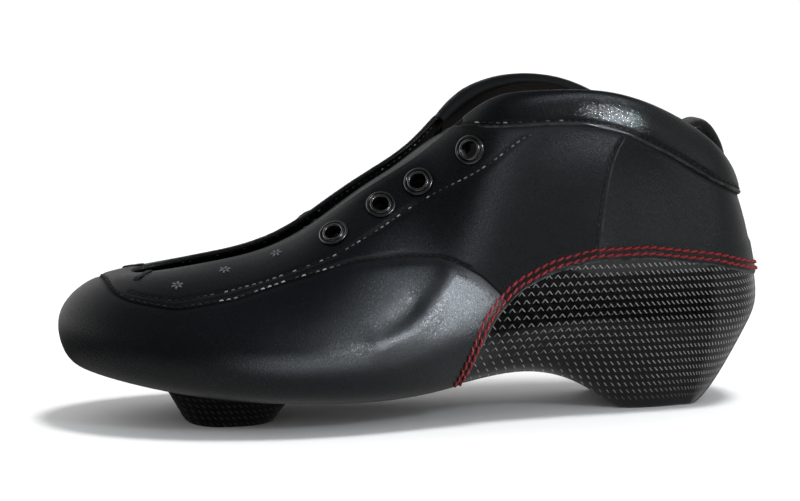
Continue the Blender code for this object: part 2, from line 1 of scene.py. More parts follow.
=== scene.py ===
"""Low-cut speed skating boot, left foot: leather, stitching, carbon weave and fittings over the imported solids."""

import math
from collections import namedtuple

import bpy
import numpy as np
from bpy.props import FloatProperty, FloatVectorProperty, PointerProperty
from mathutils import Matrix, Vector
from mathutils.bvhtree import BVHTree
from mathutils.kdtree import KDTree


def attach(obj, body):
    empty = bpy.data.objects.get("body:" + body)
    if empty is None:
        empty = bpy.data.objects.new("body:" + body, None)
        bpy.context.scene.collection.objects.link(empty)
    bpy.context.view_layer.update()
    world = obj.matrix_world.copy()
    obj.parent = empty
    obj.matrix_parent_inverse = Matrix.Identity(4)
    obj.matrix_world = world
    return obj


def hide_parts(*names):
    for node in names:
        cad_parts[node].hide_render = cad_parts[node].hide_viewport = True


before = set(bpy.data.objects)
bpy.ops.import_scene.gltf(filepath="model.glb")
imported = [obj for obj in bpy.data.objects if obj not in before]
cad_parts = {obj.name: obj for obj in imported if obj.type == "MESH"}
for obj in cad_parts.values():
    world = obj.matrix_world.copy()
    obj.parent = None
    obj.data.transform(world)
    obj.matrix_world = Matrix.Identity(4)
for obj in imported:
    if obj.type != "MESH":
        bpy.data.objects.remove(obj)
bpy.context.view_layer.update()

bl_info = {
    "name": "Speed Skating Boot",
    "version": (1, 0, 0),
    "blender": (4, 5, 0),
    "location": "View3D > Sidebar > Boot",
    "description": "Dresses the solids of a speed skating boot in leather, thread and carbon weave",
    "category": "Object",
}

MM = 0.001

# Sizes of the last, in millimetres. The skin below is the one that the solids are cut from.
LENGTH, BALL_WIDTH, COLLAR_HEIGHT, MOUNT_SPACING = 270.0, 96.0, 122.5, 165.0
PLACE = np.array([0.858, 0.382, 0.0])
LEATHER, COLLAR_PADDING, CARBON, CARBON_BELOW_LEATHER = 1.5, 4.5, 2.2, 0.8
SEAT_GAP, RIM_GAP, SHELL_OVERLAP = 0.3, 0.9, 8.0
INSOLE, INSOLE_CLEARANCE, TONGUE = 2.0, 1.2, 2.6

# Cross-sections of the last, ball to heel, in percent of the length, the ball width and the collar height
Section = namedtuple("Section", "along swing foot foot_z arch turn wall wall_z hollow crown edge edge_z rise")
SECTIONS = (
    Section(29.0, -0.5, 21.0, 7.2, 0.0, 2.3, 50.0, 24.0, 0.0, 1.55, 11.5, 53.8, 0.0),
    Section(41.0, -3.0, 19.0, 6.2, 0.0, 2.2, 46.3, 26.0, 0.0, 1.35, 12.0, 70.0, 0.0),
    Section(50.0, -3.0, 18.0, 7.8, 1.5, 2.0, 41.8, 29.0, 0.5, 1.35, 13.5, 82.6, 0.0),
    Section(56.5, -2.0, 17.5, 10.3, 3.0, 1.8, 38.8, 32.0, 1.5, 1.70, 25.0, 95.6, -2.4),
    Section(64.0, -1.0, 17.5, 12.0, 3.0, 1.6, 36.8, 34.5, 2.5, 2.40, 32.5, 99.4, 0.4),
    Section(72.0, 0.0, 18.5, 7.0, 1.5, 1.4, 36.0, 36.0, 3.2, 2.80, 34.2, 99.0, 1.0),
    Section(79.0, 0.0, 20.5, -1.5, 0.0, 1.35, 35.5, 36.0, 3.0, 2.80, 32.8, 95.4, -0.6),
    Section(86.5, 0.0, 19.0, -1.8, 0.0, 1.35, 33.8, 35.0, 2.0, 2.20, 27.0, 87.6, -2.8),
)
End = namedtuple(
    "End",
    "swing foot foot_z turn wall wall_z hollow crown edge edge_z foot_plan wall_plan edge_plan blend edge_blend",
)
TOE = End(7.0, 5.5, 15.5, 2.2, 0.0, 29.5, 0.0, 1.9, 10.0, 45.2, 2.0, 2.05, 3.2, 1.6, 0.75)
HEEL = End(0.0, 89.8, -1.8, 1.27, 99.6, 32.5, 0.0, 1.45, 93.5, 73.0, 2.6, 2.2, 2.1, 1.2, 1.25)
TOE_FAN = (75.0, 60.0, 45.0, 30.0, 15.0)
HEEL_FAN = (67.5, 45.0, 22.5)
LOWER_ANGLES = (0.0, 32.0, 62.0)
UPPER_ANGLES = (0.0, 24.0, 47.0, 69.0, 90.0)

# Lines drawn on the side view: (along, height) in the same percentages. The facing seam follows the photograph
# a little more closely than the solid does.
LEATHER_EDGE = (
    (50.0, -20.0), (53.6, 10.0), (55.6, 25.0), (57.6, 33.0), (61.0, 40.0), (66.0, 45.0), (72.0, 47.8),
    (80.0, 48.0), (90.0, 45.0), (100.0, 39.0),
)
FACING_SEAM = (
    (4.6, 90.0), (5.2, 43.0), (8.0, 39.6), (14.0, 37.8), (22.0, 40.4), (30.0, 45.7), (38.0, 50.4), (45.0, 51.5),
    (50.0, 51.0), (55.0, 45.8), (59.0, 37.6), (61.0, 20.0),
)
CUFF_LINE = (
    (45.0, 88.6), (58.0, 89.0), (66.0, 89.6), (70.0, 89.4), (76.0, 86.4), (83.0, 79.0), (90.0, 70.2), (97.5, 63.2),
)
SHELL_LIP = ((0.0, 26.0), (12.0, 20.0), (25.0, 16.5), (40.0, 16.0), (55.0, 21.0))
FOOTBED = (
    (2.0, 22.0), (8.0, 17.4), (16.0, 14.0), (28.0, 11.8), (40.0, 11.4), (55.0, 14.8), (68.0, 18.0), (80.0, 20.0),
    (100.0, 20.4),
)
EYELET_STITCH = (
    (5.4, 58.0), (6.4, 45.0), (8.6, 41.4), (14.0, 39.8), (21.0, 42.4), (26.1, 45.0), (29.8, 47.6), (33.1, 50.2),
    (36.1, 52.7), (39.5, 56.7), (42.1, 59.7), (48.1, 67.4), (54.8, 75.6), (57.2, 79.2), (59.7, 83.3), (62.4, 87.6),
)
LASTING_MARGIN = 0.07
COUNTER_SEAM_FOOT, COUNTER_SEAM_HEAD = 72.6, 76.6
CUFF_FRONT, CUFF_CLEARANCE, FACING_SETBACK = 54.0, 0.014, 0.005
RED_ROW_FRONT, RED_ROW_FOOT = 53.9, 12.0
THROAT_STITCH = 2.6
FLEX_AT, FLEX_REACH = 48.0, 10.0

# Points round or along each piece, and up or across it
UPPER_COLUMNS, UPPER_ROWS, INSIDE_ROWS = 560, 105, 30
FACING_COLUMNS, FACING_ROWS = 290, 56
COLLAR_COLUMNS, COLLAR_ROWS = 460, 40
SHELL_COLUMNS, SHELL_ROWS, LIP_ROWS = 480, 44, 8
TONGUE_GRID, LOOP_RINGS = (150, 61), 110
EYELET_RINGS, EYELET_BARREL, RING_POINTS = 60, 50, 48

# Radius of the holes for the eyelets, the pitch of points on lines that distances are taken from, and a
# dark stitch as a share of its pitch
EYELET_HOLE, SEARCH_PITCH, DARK_STITCH = 3.3, 0.4, 0.74

# Flex folds of the vamp: places (u, v) along each, and its height and half width in mm; a trough is below 0
Crease = namedtuple("Crease", "places height width")
CREASES = (
    Crease(((0.2325, 0.554), (0.2285, 0.538), (0.2225, 0.519), (0.2155, 0.499)), -0.7, 4.4),
    Crease(((0.2600, 0.592), (0.2510, 0.556), (0.2420, 0.524), (0.2300, 0.487), (0.2110, 0.455)), 0.85, 4.4),
)

# Eyelets: place along the length in percent, drop from the throat edge in mm, and lift over a hollow
EYELETS = ((36.0, 11.8, 0.0), (42.6, 11.5, 0.0), (48.0, 11.5, 0.7), (54.5, 13.5, 0.0))
EYELET_PROFILE = (
    (5.45, -0.5), (5.5, 0.1), (5.42, 0.42), (5.15, 0.66), (4.8, 0.7), (4.5, 0.6), (4.32, 0.46), (4.15, 0.5),
    (4.0, 0.75), (3.75, 1.0), (3.45, 1.08), (3.15, 0.95), (2.98, 0.62), (2.9, 0.1), (2.9, -1.2), (2.9, -3.6),
)
VENTS = ((14.5, 43.6), (21.5, 47.4), (28.5, 51.8))
BAR_TACK = (9.9, 45.4)

# Tongue and heel loop
TONGUE_FRONT, TONGUE_TOP, TONGUE_TUCK, TONGUE_CLEARANCE, TONGUE_CREST = 11.5, 53.5, 0.16, 2.4, 2.0
TONGUE_ROWS, TONGUE_TOE_SHIFT = 15, (-7.0, 0.0, -3.0)
LOOP_WIDTH, LOOP_THICK = 13.0, 3.4
LOOP_PATH = (
    (1.2, -9.4), (-5.4, -3.6), (-12.5, 3.0), (-15.5, 10.0), (-12.0, 15.5), (-6.5, 17.0), (-1.8, 12.2), (0.8, 6.4),
    (1.5, 2.2),
)

# Front mounting block
BLOCK_TOP, BLOCK_FLAT, BLOCK_TOP_SHIFT, BLOCK_PLAN, HEEL_BLOCK_AT = (48.0, 46.0), (31.0, 36.0), 1.5, 2.6, 83.9
BLOCK_STEPS = ((0.0, 0.0), (0.16, 0.9), (0.42, 4.2), (0.72, 8.0), (1.0, 12.5))

# Pitch of the carbon tows by the distance round the shell from the back of the heel, in mm
TOW_PITCH = ((0.0, 1.75), (60.0, 1.85), (89.0, 2.7), (122.0, 3.9), (149.0, 4.1), (400.0, 4.1))

# Camera, read off the photograph
VIEW_AZIMUTH, VIEW_ELEVATION, VIEW_DISTANCE, LENS = -14.0, 8.0, 1.0, 119.52
VIEW_TARGET, VIEW_SHIFT, SENSOR = (-0.006142, 0.000382, 0.060), 1.5 / 800, 36.0

# Half width of the floor and radius of the backdrop, in metres
FLOOR_REACH, BACKDROP_REACH = 6, 5.5

# Area lamps: place and aim in metres, power in watts, sides in metres, cone in degrees, and the pieces lit, or all
COOL, WHITE = (0.84, 0.92, 1.0), (1.0, 1.0, 1.0)
Lamp = namedtuple("Lamp", "name where aim energy sides cone color pieces")
LAMPS = (
    Lamp("key", (0.55, -1.05, 0.85), (0.05, 0, 0.09), 3.0, (0.25, 0.25), 180, COOL, ()),
    Lamp("table_card", (-0.01, -0.19, 0.002), (-0.01, -0.10, 0.3), 0.20, (0.16, 0.14), 180, COOL,
         ("upper_leather",)),
    Lamp("vamp_light", (0.18, -0.41, 0.085), (0.0, -0.045, 0.045), 0.0150, (0.05, 0.05), 14, COOL,
         ("upper_leather", "red_stitches")),
    Lamp("collar_light", (0.125, -0.213, 0.0835), (0.067, -0.036, 0.112), 0.0012, (0.008, 0.008), 8, COOL,
         ("collar_band",)),
    Lamp("quarter_light", (0.127, -0.192, 0.003), (0.062, -0.032, 0.102), 0.0014, (0.06, 0.06), 16, COOL,
         ("facing_panel", "red_stitches")),
    Lamp("facing_light", (0.05, -0.42, 0.11), (0.03, -0.04, 0.065), 0.13, (0.12, 0.12), 180, COOL,
         ("facing_panel", "dark_stitches", "vent_marks")),
    Lamp("shell_strip", (0.30, -0.48, 0.117), (0.08, -0.03, 0.055), 0.12, (0.36, 0.11), 180, WHITE,
         ("carbon_shell_skin",)),
    Lamp("counter_light", (0.325, -0.475, 0.06), (0.10, -0.03, 0.08), 0.006, (0.2, 0.2), 24, WHITE,
         ("upper_leather", "collar_band")),
)


def measure(name, description, default):
    return FloatProperty(name=name, description=description, default=default, unit="LENGTH", precision=5)


class BootSizes(bpy.types.PropertyGroup):
    """Sizes of the sewn and woven detail."""

    red_pitch: measure("Red stitch pitch", "From one stitch of the red seam to the next", 0.00335)
    red_length: measure("Red stitch length", "Length of one red stitch", 0.0036)
    red_thread: measure("Red thread", "Radius of the red thread", 0.00042)
    red_edge: measure("Red seam margin", "From the leather edge to the first red row", 0.0021)
    red_gap: measure("Red row gap", "Between the two red rows", 0.0023)
    dark_pitch: measure("Dark stitch pitch", "From one stitch of the dark seams to the next", 0.0026)
    dark_thread: measure("Dark thread", "Radius of the dark thread", 0.00028)
    grain: measure("Leather grain", "Size of one grain of the leather", 0.00042)
    crease: FloatProperty(
        name="Crease depth", description="Strength of the flex creases in the vamp", default=1.0, subtype="FACTOR")
    facing_rise: measure("Facing rise", "How far the facing stands off the vamp", 0.00045)
    collar_puff: measure("Collar puff", "How far the collar padding swells", 0.0004)
    weave_row: measure("Weave row", "Height of one row of the carbon weave", 0.0029)
    dash_length: measure("Bright tow length", "Length of one bright tow of the weave", 0.0018)
    dash_width: measure("Bright tow width", "Width of one bright tow of the weave", 0.00038)


def tint(name, description, default):
    return FloatVectorProperty(
        name=name, description=description, default=(*default, 1.0), subtype="COLOR", size=4, min=0.0, max=1.0)


class BootColours(bpy.types.PropertyGroup):
    """Colours of the finishes."""

    leather: tint("Leather", "Blue-black leather", (0.0020, 0.0027, 0.0036))
    worn: tint("Worn leather", "Leather where an edge is rubbed", (0.075, 0.078, 0.082))
    lining: tint("Lining", "Fabric inside the boot", (0.017, 0.0145, 0.0125))
    thread: tint("Dark thread", "Thread of the dark seams", (0.006, 0.0063, 0.007))
    red: tint("Red thread", "Thread of the heel seam", (0.30, 0.008, 0.012))
    carbon: tint("Carbon", "Clear-coated carbon", (0.0009, 0.0009, 0.0009))
    # Colour of the painted highlights on the tows.
    tow_glint: tint("Bright tow", "Tow of the weave that catches the light", (0.33, 0.335, 0.335))
    metal: tint("Eyelet", "Gunmetal of the eyelets", (0.30, 0.30, 0.31))
    webbing: tint("Webbing", "Heel loop", (0.010, 0.010, 0.011))
    floor: tint("Floor", "Studio floor", (0.90, 0.90, 0.90))


def sizes():
    """The sewn and woven sizes in millimetres, by name."""
    group = bpy.context.scene.boot_sizes
    return {name: getattr(group, name) / (1 if name == "crease" else MM) for name in BootSizes.__annotations__}


def spline_weights(knots, at, period=0.0):
    """Rows of weights that read a smooth cubic through values at the knots, closed where a period is given."""
    count = len(knots)
    stops = np.append(knots, knots[0] + period) if period else np.asarray(knots, float)
    gaps = np.diff(stops)
    stiff = np.eye(count)
    pull = np.zeros((count, count))
    for i in range(count) if period else range(1, count - 1):
        before, after, follower = gaps[i - 1], gaps[i], (i + 1) % count
        stiff[i, i] = (before + after) / 3
        stiff[i, i - 1] = before / 6
        stiff[i, follower] = after / 6
        pull[i, i - 1] = 1 / before
        pull[i, i] = -1 / before - 1 / after
        pull[i, follower] = 1 / after
    bend = np.linalg.solve(stiff, pull)
    place = stops[0] + np.mod(at - stops[0], period) if period else np.asarray(at, float)
    span = np.clip(np.searchsorted(stops, place, side="right") - 1, 0, len(gaps) - 1)
    follower = (span + 1) % count
    share = (place - stops[span]) / gaps[span]
    rest = 1 - share
    square = gaps[span] ** 2 / 6
    weights = np.zeros((len(place), count))
    rows = np.arange(len(place))
    weights[rows, span] += rest
    weights[rows, follower] += share
    weights += ((rest**3 - rest) * square)[:, None] * bend[span]
    weights += ((share**3 - share) * square)[:, None] * bend[follower]
    return weights


def smooth_path(stops, count):
    """Points spread along a smooth curve through the stops."""
    stops = np.asarray(stops, float)
    return spline_weights(np.arange(len(stops)), np.linspace(0, len(stops) - 1, count)) @ stops


def x_at(along):
    return (np.asarray(along, float) / 100 - 0.5) * LENGTH


def wide(share):
    return np.asarray(share, float) / 100 * BALL_WIDTH


def high(share):
    return np.asarray(share, float) / 100 * COLLAR_HEIGHT


def unit(vectors):
    return vectors / np.maximum(np.linalg.norm(vectors, axis=-1, keepdims=True), 1e-9)


def bell(distance, width):
    return np.exp(-((distance / width) ** 2))


def rounded(share):
    """A quarter-round rise from 0 at 0 to 1 at 1 and beyond."""
    return np.sqrt(np.clip(1 - (1 - np.clip(share, 0, 1)) ** 2, 0, 1))


def turns_of(count):
    """Angles of points set evenly round a ring."""
    return np.linspace(0, 2 * np.pi, count, endpoint=False)


def along_at(x):
    """The place along the length, in percent."""
    return (x / LENGTH + 0.5) * 100


def tilt_to(out):
    """The turn that sets the axis of a flat ring along a way out of the skin."""
    return np.array(Vector(out).to_track_quat("Z", "X").to_matrix())


def point_tree(points):
    tree = KDTree(len(points))
    for i, place in enumerate(points):
        tree.insert(place, i)
    tree.balance()
    return tree


def section_net(foot, wall, edge, middle, turn, crown, hollow):
    """Control points up one side of a section, through the points on its foot rim, wall and edge."""
    low = np.radians(LOWER_ANGLES)[:, None]
    up = np.radians(UPPER_ANGLES)[:, None]
    out, rise = np.sin(low) ** (2 / turn), 1 - np.cos(low) ** (2 / turn)
    back, climb = 1 - np.cos(up) ** (2 / crown), np.sin(up) ** (2 / crown)
    lower = foot + (wall - foot) * np.hstack([out, out, rise])
    upper = wall + (edge - wall) * np.hstack([back, back, climb])
    inward = (middle - wall) * (1, 1, 0)
    upper += inward / np.linalg.norm(inward) * hollow * np.sin(np.pi * climb) ** 2
    return np.vstack([lower, upper])


def side_net(section, side):
    """A straight section: side is -1 for the outer side of the foot and 1 for the inner."""
    arch, rise = (section.arch, section.rise) if side > 0 else (0.0, 0.0)
    x, middle = x_at(section.along), wide(section.swing)
    halves = (section.foot, section.wall, section.edge)
    heights = (section.foot_z + arch, section.wall_z, section.edge_z + rise)
    rims = (np.array([x, middle + side * wide(half), high(z)]) for half, z in zip(halves, heights))
    return section_net(*rims, np.array([x, middle, 0]), section.turn, section.crown, wide(section.hollow))


def fan_net(end, section, angle, side):
    """A section swung round the toe or the heel: angle 0 is the middle profile and 90 the straight section."""
    cosine, sine = math.cos(math.radians(angle)), math.sin(math.radians(angle))
    pivot = x_at(section.along)
    reach = x_at(end.wall) - pivot

    def mixed(name, share):
        return getattr(end, name) * share + getattr(section, name) * (1 - share)

    def rim(name, blend):
        plan = 2 / getattr(end, name + "_plan")
        share = cosine**plan
        forward = (x_at(getattr(end, name)) - pivot) * share
        swing = section.swing + (end.swing - section.swing) * forward / reach
        y = wide(swing) + side * wide(getattr(section, name)) * sine**plan
        return np.array([pivot + forward, y, high(mixed(name + "_z", share**blend))])

    rims = (rim("foot", end.blend), rim("wall", end.blend), rim("edge", end.edge_blend))
    middle = np.array([pivot, wide(section.swing), 0])
    turn, crown, hollow = (mixed(name, cosine**end.blend) for name in ("turn", "crown", "hollow"))
    return section_net(*rims, middle, turn, crown, wide(hollow))


def control_net():
    """All sections in order: toe, outer side, heel and back along the inner side."""
    fore, aft = SECTIONS[0], SECTIONS[-1]
    outer = [fan_net(TOE, fore, angle, -1) for angle in TOE_FAN[::-1]]
    outer += [side_net(section, -1) for section in SECTIONS]
    outer += [fan_net(HEEL, aft, angle, -1) for angle in HEEL_FAN]
    inner = [fan_net(HEEL, aft, angle, 1) for angle in HEEL_FAN[::-1]]
    inner += [side_net(section, 1) for section in SECTIONS[::-1]]
    inner += [fan_net(TOE, fore, angle, 1) for angle in TOE_FAN]
    return np.array([fan_net(TOE, fore, 0, 1), *outer, fan_net(HEEL, aft, 0, 1), *inner])


def eased(line):
    """A line of the side view with its corners rounded off."""
    along, height = np.array(line).T
    if len(along) < 4:
        return along, height
    fine = np.arange(along[0], along[-1], 0.2)
    level = np.pad(np.interp(fine, along, height), 8, mode="edge")
    soft = np.convolve(level, np.hanning(19)[1:-1] / np.hanning(19).sum(), mode="valid")
    return fine, soft


class Last:
    """The outer skin of the boot: u runs round it from the toe (0) by the outer side to the heel (0.5) and back.

    v runs up each section, from the foot rim (0) to the throat or collar edge (1).
    """

    STEP = 1e-3

    def __init__(self):
        self.net = control_net()
        wall = self.net[:, len(LOWER_ANGLES)]
        spans = np.linalg.norm(np.roll(wall, -1, axis=0) - wall, axis=1)
        spans = (spans + spans[::-1]) / 2
        self.girth = spans.sum()
        self.u_knots = np.concatenate([[0], np.cumsum(spans)[:-1]]) / self.girth
        self.v_knots = np.linspace(0, 1, self.net.shape[1])
        u, v = np.meshgrid(np.linspace(0, 1, 400, endpoint=False), np.linspace(0, 1, 90), indexing="ij")
        index = np.arange(u.size).reshape(u.shape)
        ahead = np.roll(index, -1, 0)
        quads = np.stack([index[:, :-1], ahead[:, :-1], ahead[:, 1:], index[:, 1:]], -1)
        self.tree = BVHTree.FromPolygons(self.point(u, v).reshape(-1, 3).tolist(), quads.reshape(-1, 4).tolist())

    def point(self, u, v):
        """Points of the skin, in millimetres, for arrays of u and v that go together."""
        u, v = np.broadcast_arrays(np.asarray(u, float), np.asarray(v, float))
        stations, levels = self.net.shape[:2]
        rows = spline_weights(self.u_knots, u.ravel(), 1.0) @ self.net.reshape(stations, levels * 3)
        up = spline_weights(self.v_knots, v.ravel())
        return np.einsum("kl,kld->kd", up, rows.reshape(-1, levels, 3)).reshape(*u.shape, 3)

    def upward(self, u, v):
        return self.point(u, np.minimum(v + self.STEP, 1)) - self.point(u, np.maximum(v - self.STEP, 0))

    def normal(self, u, v):
        across = self.point(u + self.STEP, v) - self.point(u - self.STEP, v)
        return unit(np.cross(across, self.upward(u, v)))

    def skin(self, u, v, lift=0.0):
        """Points lifted off the skin along its normal: outwards where lift is above 0."""
        u, v = np.broadcast_arrays(np.asarray(u, float), np.asarray(v, float))
        return self.point(u, v) + np.asarray(lift)[..., None] * self.normal(u, v)

    def v_on_line(self, u, line, lift=0.0):
        """Where each section, lifted off the skin, first rises above a line of the side view."""
        u = np.asarray(u, float)
        v = np.linspace(0, 1, 241)
        places = self.skin(u[:, None], v, lift) if lift else self.point(u[:, None], v)
        along, height = eased(line)
        above = places[..., 2] - np.interp(places[..., 0], x_at(along), high(height))
        crossed = above > 0
        first = np.where(crossed.any(axis=1), crossed.argmax(axis=1), len(v) - 1)
        before = np.maximum(first - 1, 0)
        rows = np.arange(len(u))
        low, top = above[rows, before], above[rows, first]
        share = np.where(top > low, np.clip(-low / np.where(top > low, top - low, 1), 0, 1), 1)
        return v[before] + share * (v[first] - v[before])

    def climb(self, u, low, high_v, distances):
        """The v values at distances in millimetres up each section from low, evenly scaled where space is short."""
        v = low[:, None] + (high_v - low)[:, None] * np.linspace(0, 1, 81)
        steps = np.linalg.norm(np.diff(self.point(u[:, None], v), axis=1), axis=2)
        run = np.hstack([np.zeros((len(u), 1)), np.cumsum(steps, axis=1)])
        return np.array([np.interp(distances, r, w) for r, w in zip(run, v)])

    def u_at(self, along, v=0.5):
        """The u on the outer side where the skin passes a share of the length."""
        u = np.linspace(0.02, 0.48, 461)
        return float(np.interp(x_at(along), self.point(u, v)[:, 0], u))

    def rest_on(self, points):
        """The nearest points of the skin and the way out of it there."""
        hits = [self.tree.find_nearest(Vector(point))[:2] for point in points]
        return np.array([list(hit[0]) for hit in hits]), np.array([list(hit[1]) for hit in hits])


LAST = Last()


def even(points, pitch):
    """Points set at an even pitch along a line."""
    run = np.concatenate([[0], np.cumsum(np.linalg.norm(np.diff(points, axis=0), axis=1))])
    at = np.linspace(0, run[-1], max(2, int(round(run[-1] / pitch)) + 1))
    return np.stack([np.interp(at, run, axis) for axis in points.T], -1)


def distance_to(points, line):
    """Distance of each point from a line, in millimetres."""
    tree = point_tree(even(line, SEARCH_PITCH))
    return np.array([tree.find(point)[2] for point in points.reshape(-1, 3)]).reshape(points.shape[:-1])


def beside(line, distance, side):
    """A line on the skin moved sideways: up, or into the leather, where distance is above 0."""
    places, out = LAST.rest_on(line)
    ahead = unit(np.gradient(places, axis=0))
    return LAST.rest_on(places - side * distance * np.cross(out, ahead))[0]


def mirrored(u, side):
    """u on the outer side of the foot for side -1, and on the inner side for 1."""
    return u if side < 0 else 1 - np.asarray(u)


def leather_edge_v(u):
    """The lower edge of the upper: the lasting margin under the forefoot, and the stitched line round the heel."""
    return np.maximum(LAST.v_on_line(u, LEATHER_EDGE), LASTING_MARGIN)


def leather_wall(u, v):
    """Thickness of the upper: one leather, swelling to the padding at the collar."""
    cuff = LAST.v_on_line(u, CUFF_LINE)[:, None]
    height = np.clip((v - cuff) / np.maximum(1 - cuff, 0.02), 0, 1)
    padded = np.where(1 - cuff > 0.02, np.sin(np.pi * np.clip(height, 0, 0.75) / 1.5), 0)
    return LEATHER + (COLLAR_PADDING - LEATHER) * padded


def edge_wall(u):
    """Thickness of the upper at its top edge."""
    return leather_wall(u, np.ones((len(u), 1)))[:, 0]


def collar_u():
    """u along the collar band, round the heel from one side to the other."""
    front = LAST.u_at(CUFF_FRONT, 0.9)
    return np.linspace(front, 1 - front, COLLAR_COLUMNS)


def facing_grid(columns, rows):
    """u, v of the facing: one panel from counter seam to counter seam round the toe."""
    foot_u, head_u = LAST.u_at(COUNTER_SEAM_FOOT), LAST.u_at(COUNTER_SEAM_HEAD)
    end = np.array([0.0004, 0.0012, 0.0025, 0.004])
    side = np.concatenate([np.linspace(0, 1 - 0.006, columns), 1 - end[::-1], [1.0]])
    across = np.concatenate([-side[:0:-1], side])
    share = (1 - np.cos(np.pi * np.linspace(0, 1, rows))) / 2
    u = across[:, None] * (foot_u + (head_u - foot_u) * share)
    foot = np.maximum(LAST.v_on_line(u[:, 0], FACING_SEAM), leather_edge_v(u[:, 0]) + FACING_SETBACK)
    head = np.minimum(LAST.v_on_line(u[:, -1], CUFF_LINE) + CUFF_CLEARANCE, 1.0)
    return u, foot[:, None] + (head - foot)[:, None] * share


def seam_line(side):
    """The lower edge of the facing on one side of the foot, from the toe back."""
    u = mirrored(np.linspace(0.004, LAST.u_at(COUNTER_SEAM_FOOT), 260), side)
    foot = np.maximum(LAST.v_on_line(u, FACING_SEAM), leather_edge_v(u) + FACING_SETBACK)
    return LAST.point(u, foot)


def side_line(table, side, first, last, count=220):
    """A line of the side view laid on the skin, between two places along the length."""
    u = mirrored(np.linspace(LAST.u_at(first), LAST.u_at(last), count), side)
    return LAST.point(u, LAST.v_on_line(u, table))


def cuff_line():
    """The lower edge of the collar band, round the heel from one side to the other."""
    u = collar_u()
    return LAST.point(u, LAST.v_on_line(u, CUFF_LINE))


def stitch_lines(side):
    """The dark seams of one side, by name: each a line of points on the skin."""
    counter = np.linspace(0.02, 0.97, 120)
    foot_u, head_u = LAST.u_at(COUNTER_SEAM_FOOT) - 0.0032, LAST.u_at(COUNTER_SEAM_HEAD) - 0.0032
    u = mirrored(foot_u + (head_u - foot_u) * counter, side)
    foot, head = leather_edge_v(u) + FACING_SETBACK, LAST.v_on_line(u, CUFF_LINE)
    return {
        "vamp": beside(seam_line(side)[4:-62], 0.75, side),
        "eyelets": side_line(EYELET_STITCH, side, 6.4, 62.4, 300),
        "counter": LAST.point(u, foot + (head - foot) * counter),
    }


class Form:
    """Collects grids of points, in millimetres, into one mesh with named values at its points."""

    def __init__(self):
        self.points, self.faces, self.finish, self.values = [], [], [], {}
        self.count = 0

    def grids(self, points, closed=False, finish=0, keep=None, **values):
        """Adds grids (count, rows, columns): the columns of a closed one join up. Faces stay where keep is true."""
        count, rows, columns = points.shape[:3]
        index = self.count + np.arange(count * rows * columns).reshape(count, rows, columns)
        right = np.roll(index, -1, axis=2) if closed else index[:, :, 1:]
        left = index if closed else index[:, :, :-1]
        quads = np.stack([left[:, :-1], right[:, :-1], right[:, 1:], left[:, 1:]], -1).reshape(-1, 4)
        if keep is not None:
            quads = quads[keep.ravel()[quads - self.count].all(axis=1)]
        self.points.append(points.reshape(-1, 3))
        self.faces.append(quads)
        self.finish.append(np.full(len(quads), finish, np.int32))
        for name, value in values.items():
            wanted = (count, rows, columns) + ((3,) if name == "weave" else ())
            self.values.setdefault(name, {})[self.count] = np.broadcast_to(value, wanted)
        self.count += index.size
        return index

    def grid(self, points, closed=False, finish=0, keep=None, **values):
        return self.grids(points[None], closed, finish, keep, **values)[0]

    def cap(self, ring, finish=0):
        """Closes a ring of points by their numbers."""
        for i in range(1, len(ring) - 1):
            self.faces.append(np.array([[ring[0], ring[i], ring[i + 1], ring[i + 1]]]))
            self.finish.append(np.array([finish], np.int32))

    def piece(self, name, finishes, slot, *nodes):
        """Makes the mesh a piece that rides on the boot, in place of the solids that it is made over."""
        mesh = bpy.data.meshes.new(name)
        points = (np.concatenate(self.points) + PLACE) * MM
        used, faces = np.unique(np.concatenate(self.faces), return_inverse=True)
        points, faces = points[used], faces.reshape(-1, 4)
        shared = [face[:3] if face[2] == face[3] else face for face in faces.tolist()]
        mesh.from_pydata(points.tolist(), [], shared)
        for finish in finishes:
            mesh.materials.append(bpy.data.materials[finish])
        mesh.polygons.foreach_set("material_index", np.concatenate(self.finish))
        for key, parts in self.values.items():
            kind, wide_as, part_name = ("FLOAT_VECTOR", 3, "vector") if key == "weave" else ("FLOAT", 1, "value")
            data = np.zeros((self.count, wide_as), np.float32)
            for start, part in parts.items():
                flat = np.asarray(part, np.float32).reshape(-1, wide_as)
                data[start:start + len(flat)] = flat
            mesh.attributes.new(key, kind, "POINT").data.foreach_set(part_name, data[used].ravel())
        mesh.validate()
        mesh.shade_smooth()
        obj = bpy.data.objects.new(name, mesh)
        bpy.context.scene.collection.objects.link(obj)
        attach(obj, "root")
        if nodes:
            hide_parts(*nodes)
        return obj


class Wire:
    """A socket of a node tree that is added, multiplied and compared as a number is."""

    def __init__(self, tree, socket):
        self.tree, self.socket = tree, socket

    def math(self, operation, *values):
        return self.tree.node("ShaderNodeMath", {"operation": operation}, dict(enumerate(values)))

    def __add__(self, other):
        return self.math("ADD", self, other)

    def __radd__(self, other):
        return self.math("ADD", other, self)

    def __sub__(self, other):
        return self.math("SUBTRACT", self, other)

    def __rsub__(self, other):
        return self.math("SUBTRACT", other, self)

    def __mul__(self, other):
        return self.math("MULTIPLY", self, other)

    def __rmul__(self, other):
        return self.math("MULTIPLY", other, self)

    def __truediv__(self, other):
        return self.math("DIVIDE", self, other)

    def __rtruediv__(self, other):
        return self.math("DIVIDE", other, self)

    def __neg__(self):
        return 0 - self

    def __pow__(self, other):
        return self.math("POWER", self, other)

    def __abs__(self):
        return self.math("ABSOLUTE", self)

    def floor(self):
        return self.math("FLOOR", self)

    def cycle(self):
        """The part after the point: 0 to 1, again and again."""
        return self.math("FRACT", self)

    def step(self, low, top):
        """A smooth step from 0 at low to 1 at top."""
        return self.tree.node(
            "ShaderNodeMapRange", {"interpolation_type": "SMOOTHSTEP"},
            {"Value": self, "From Min": low, "From Max": top})


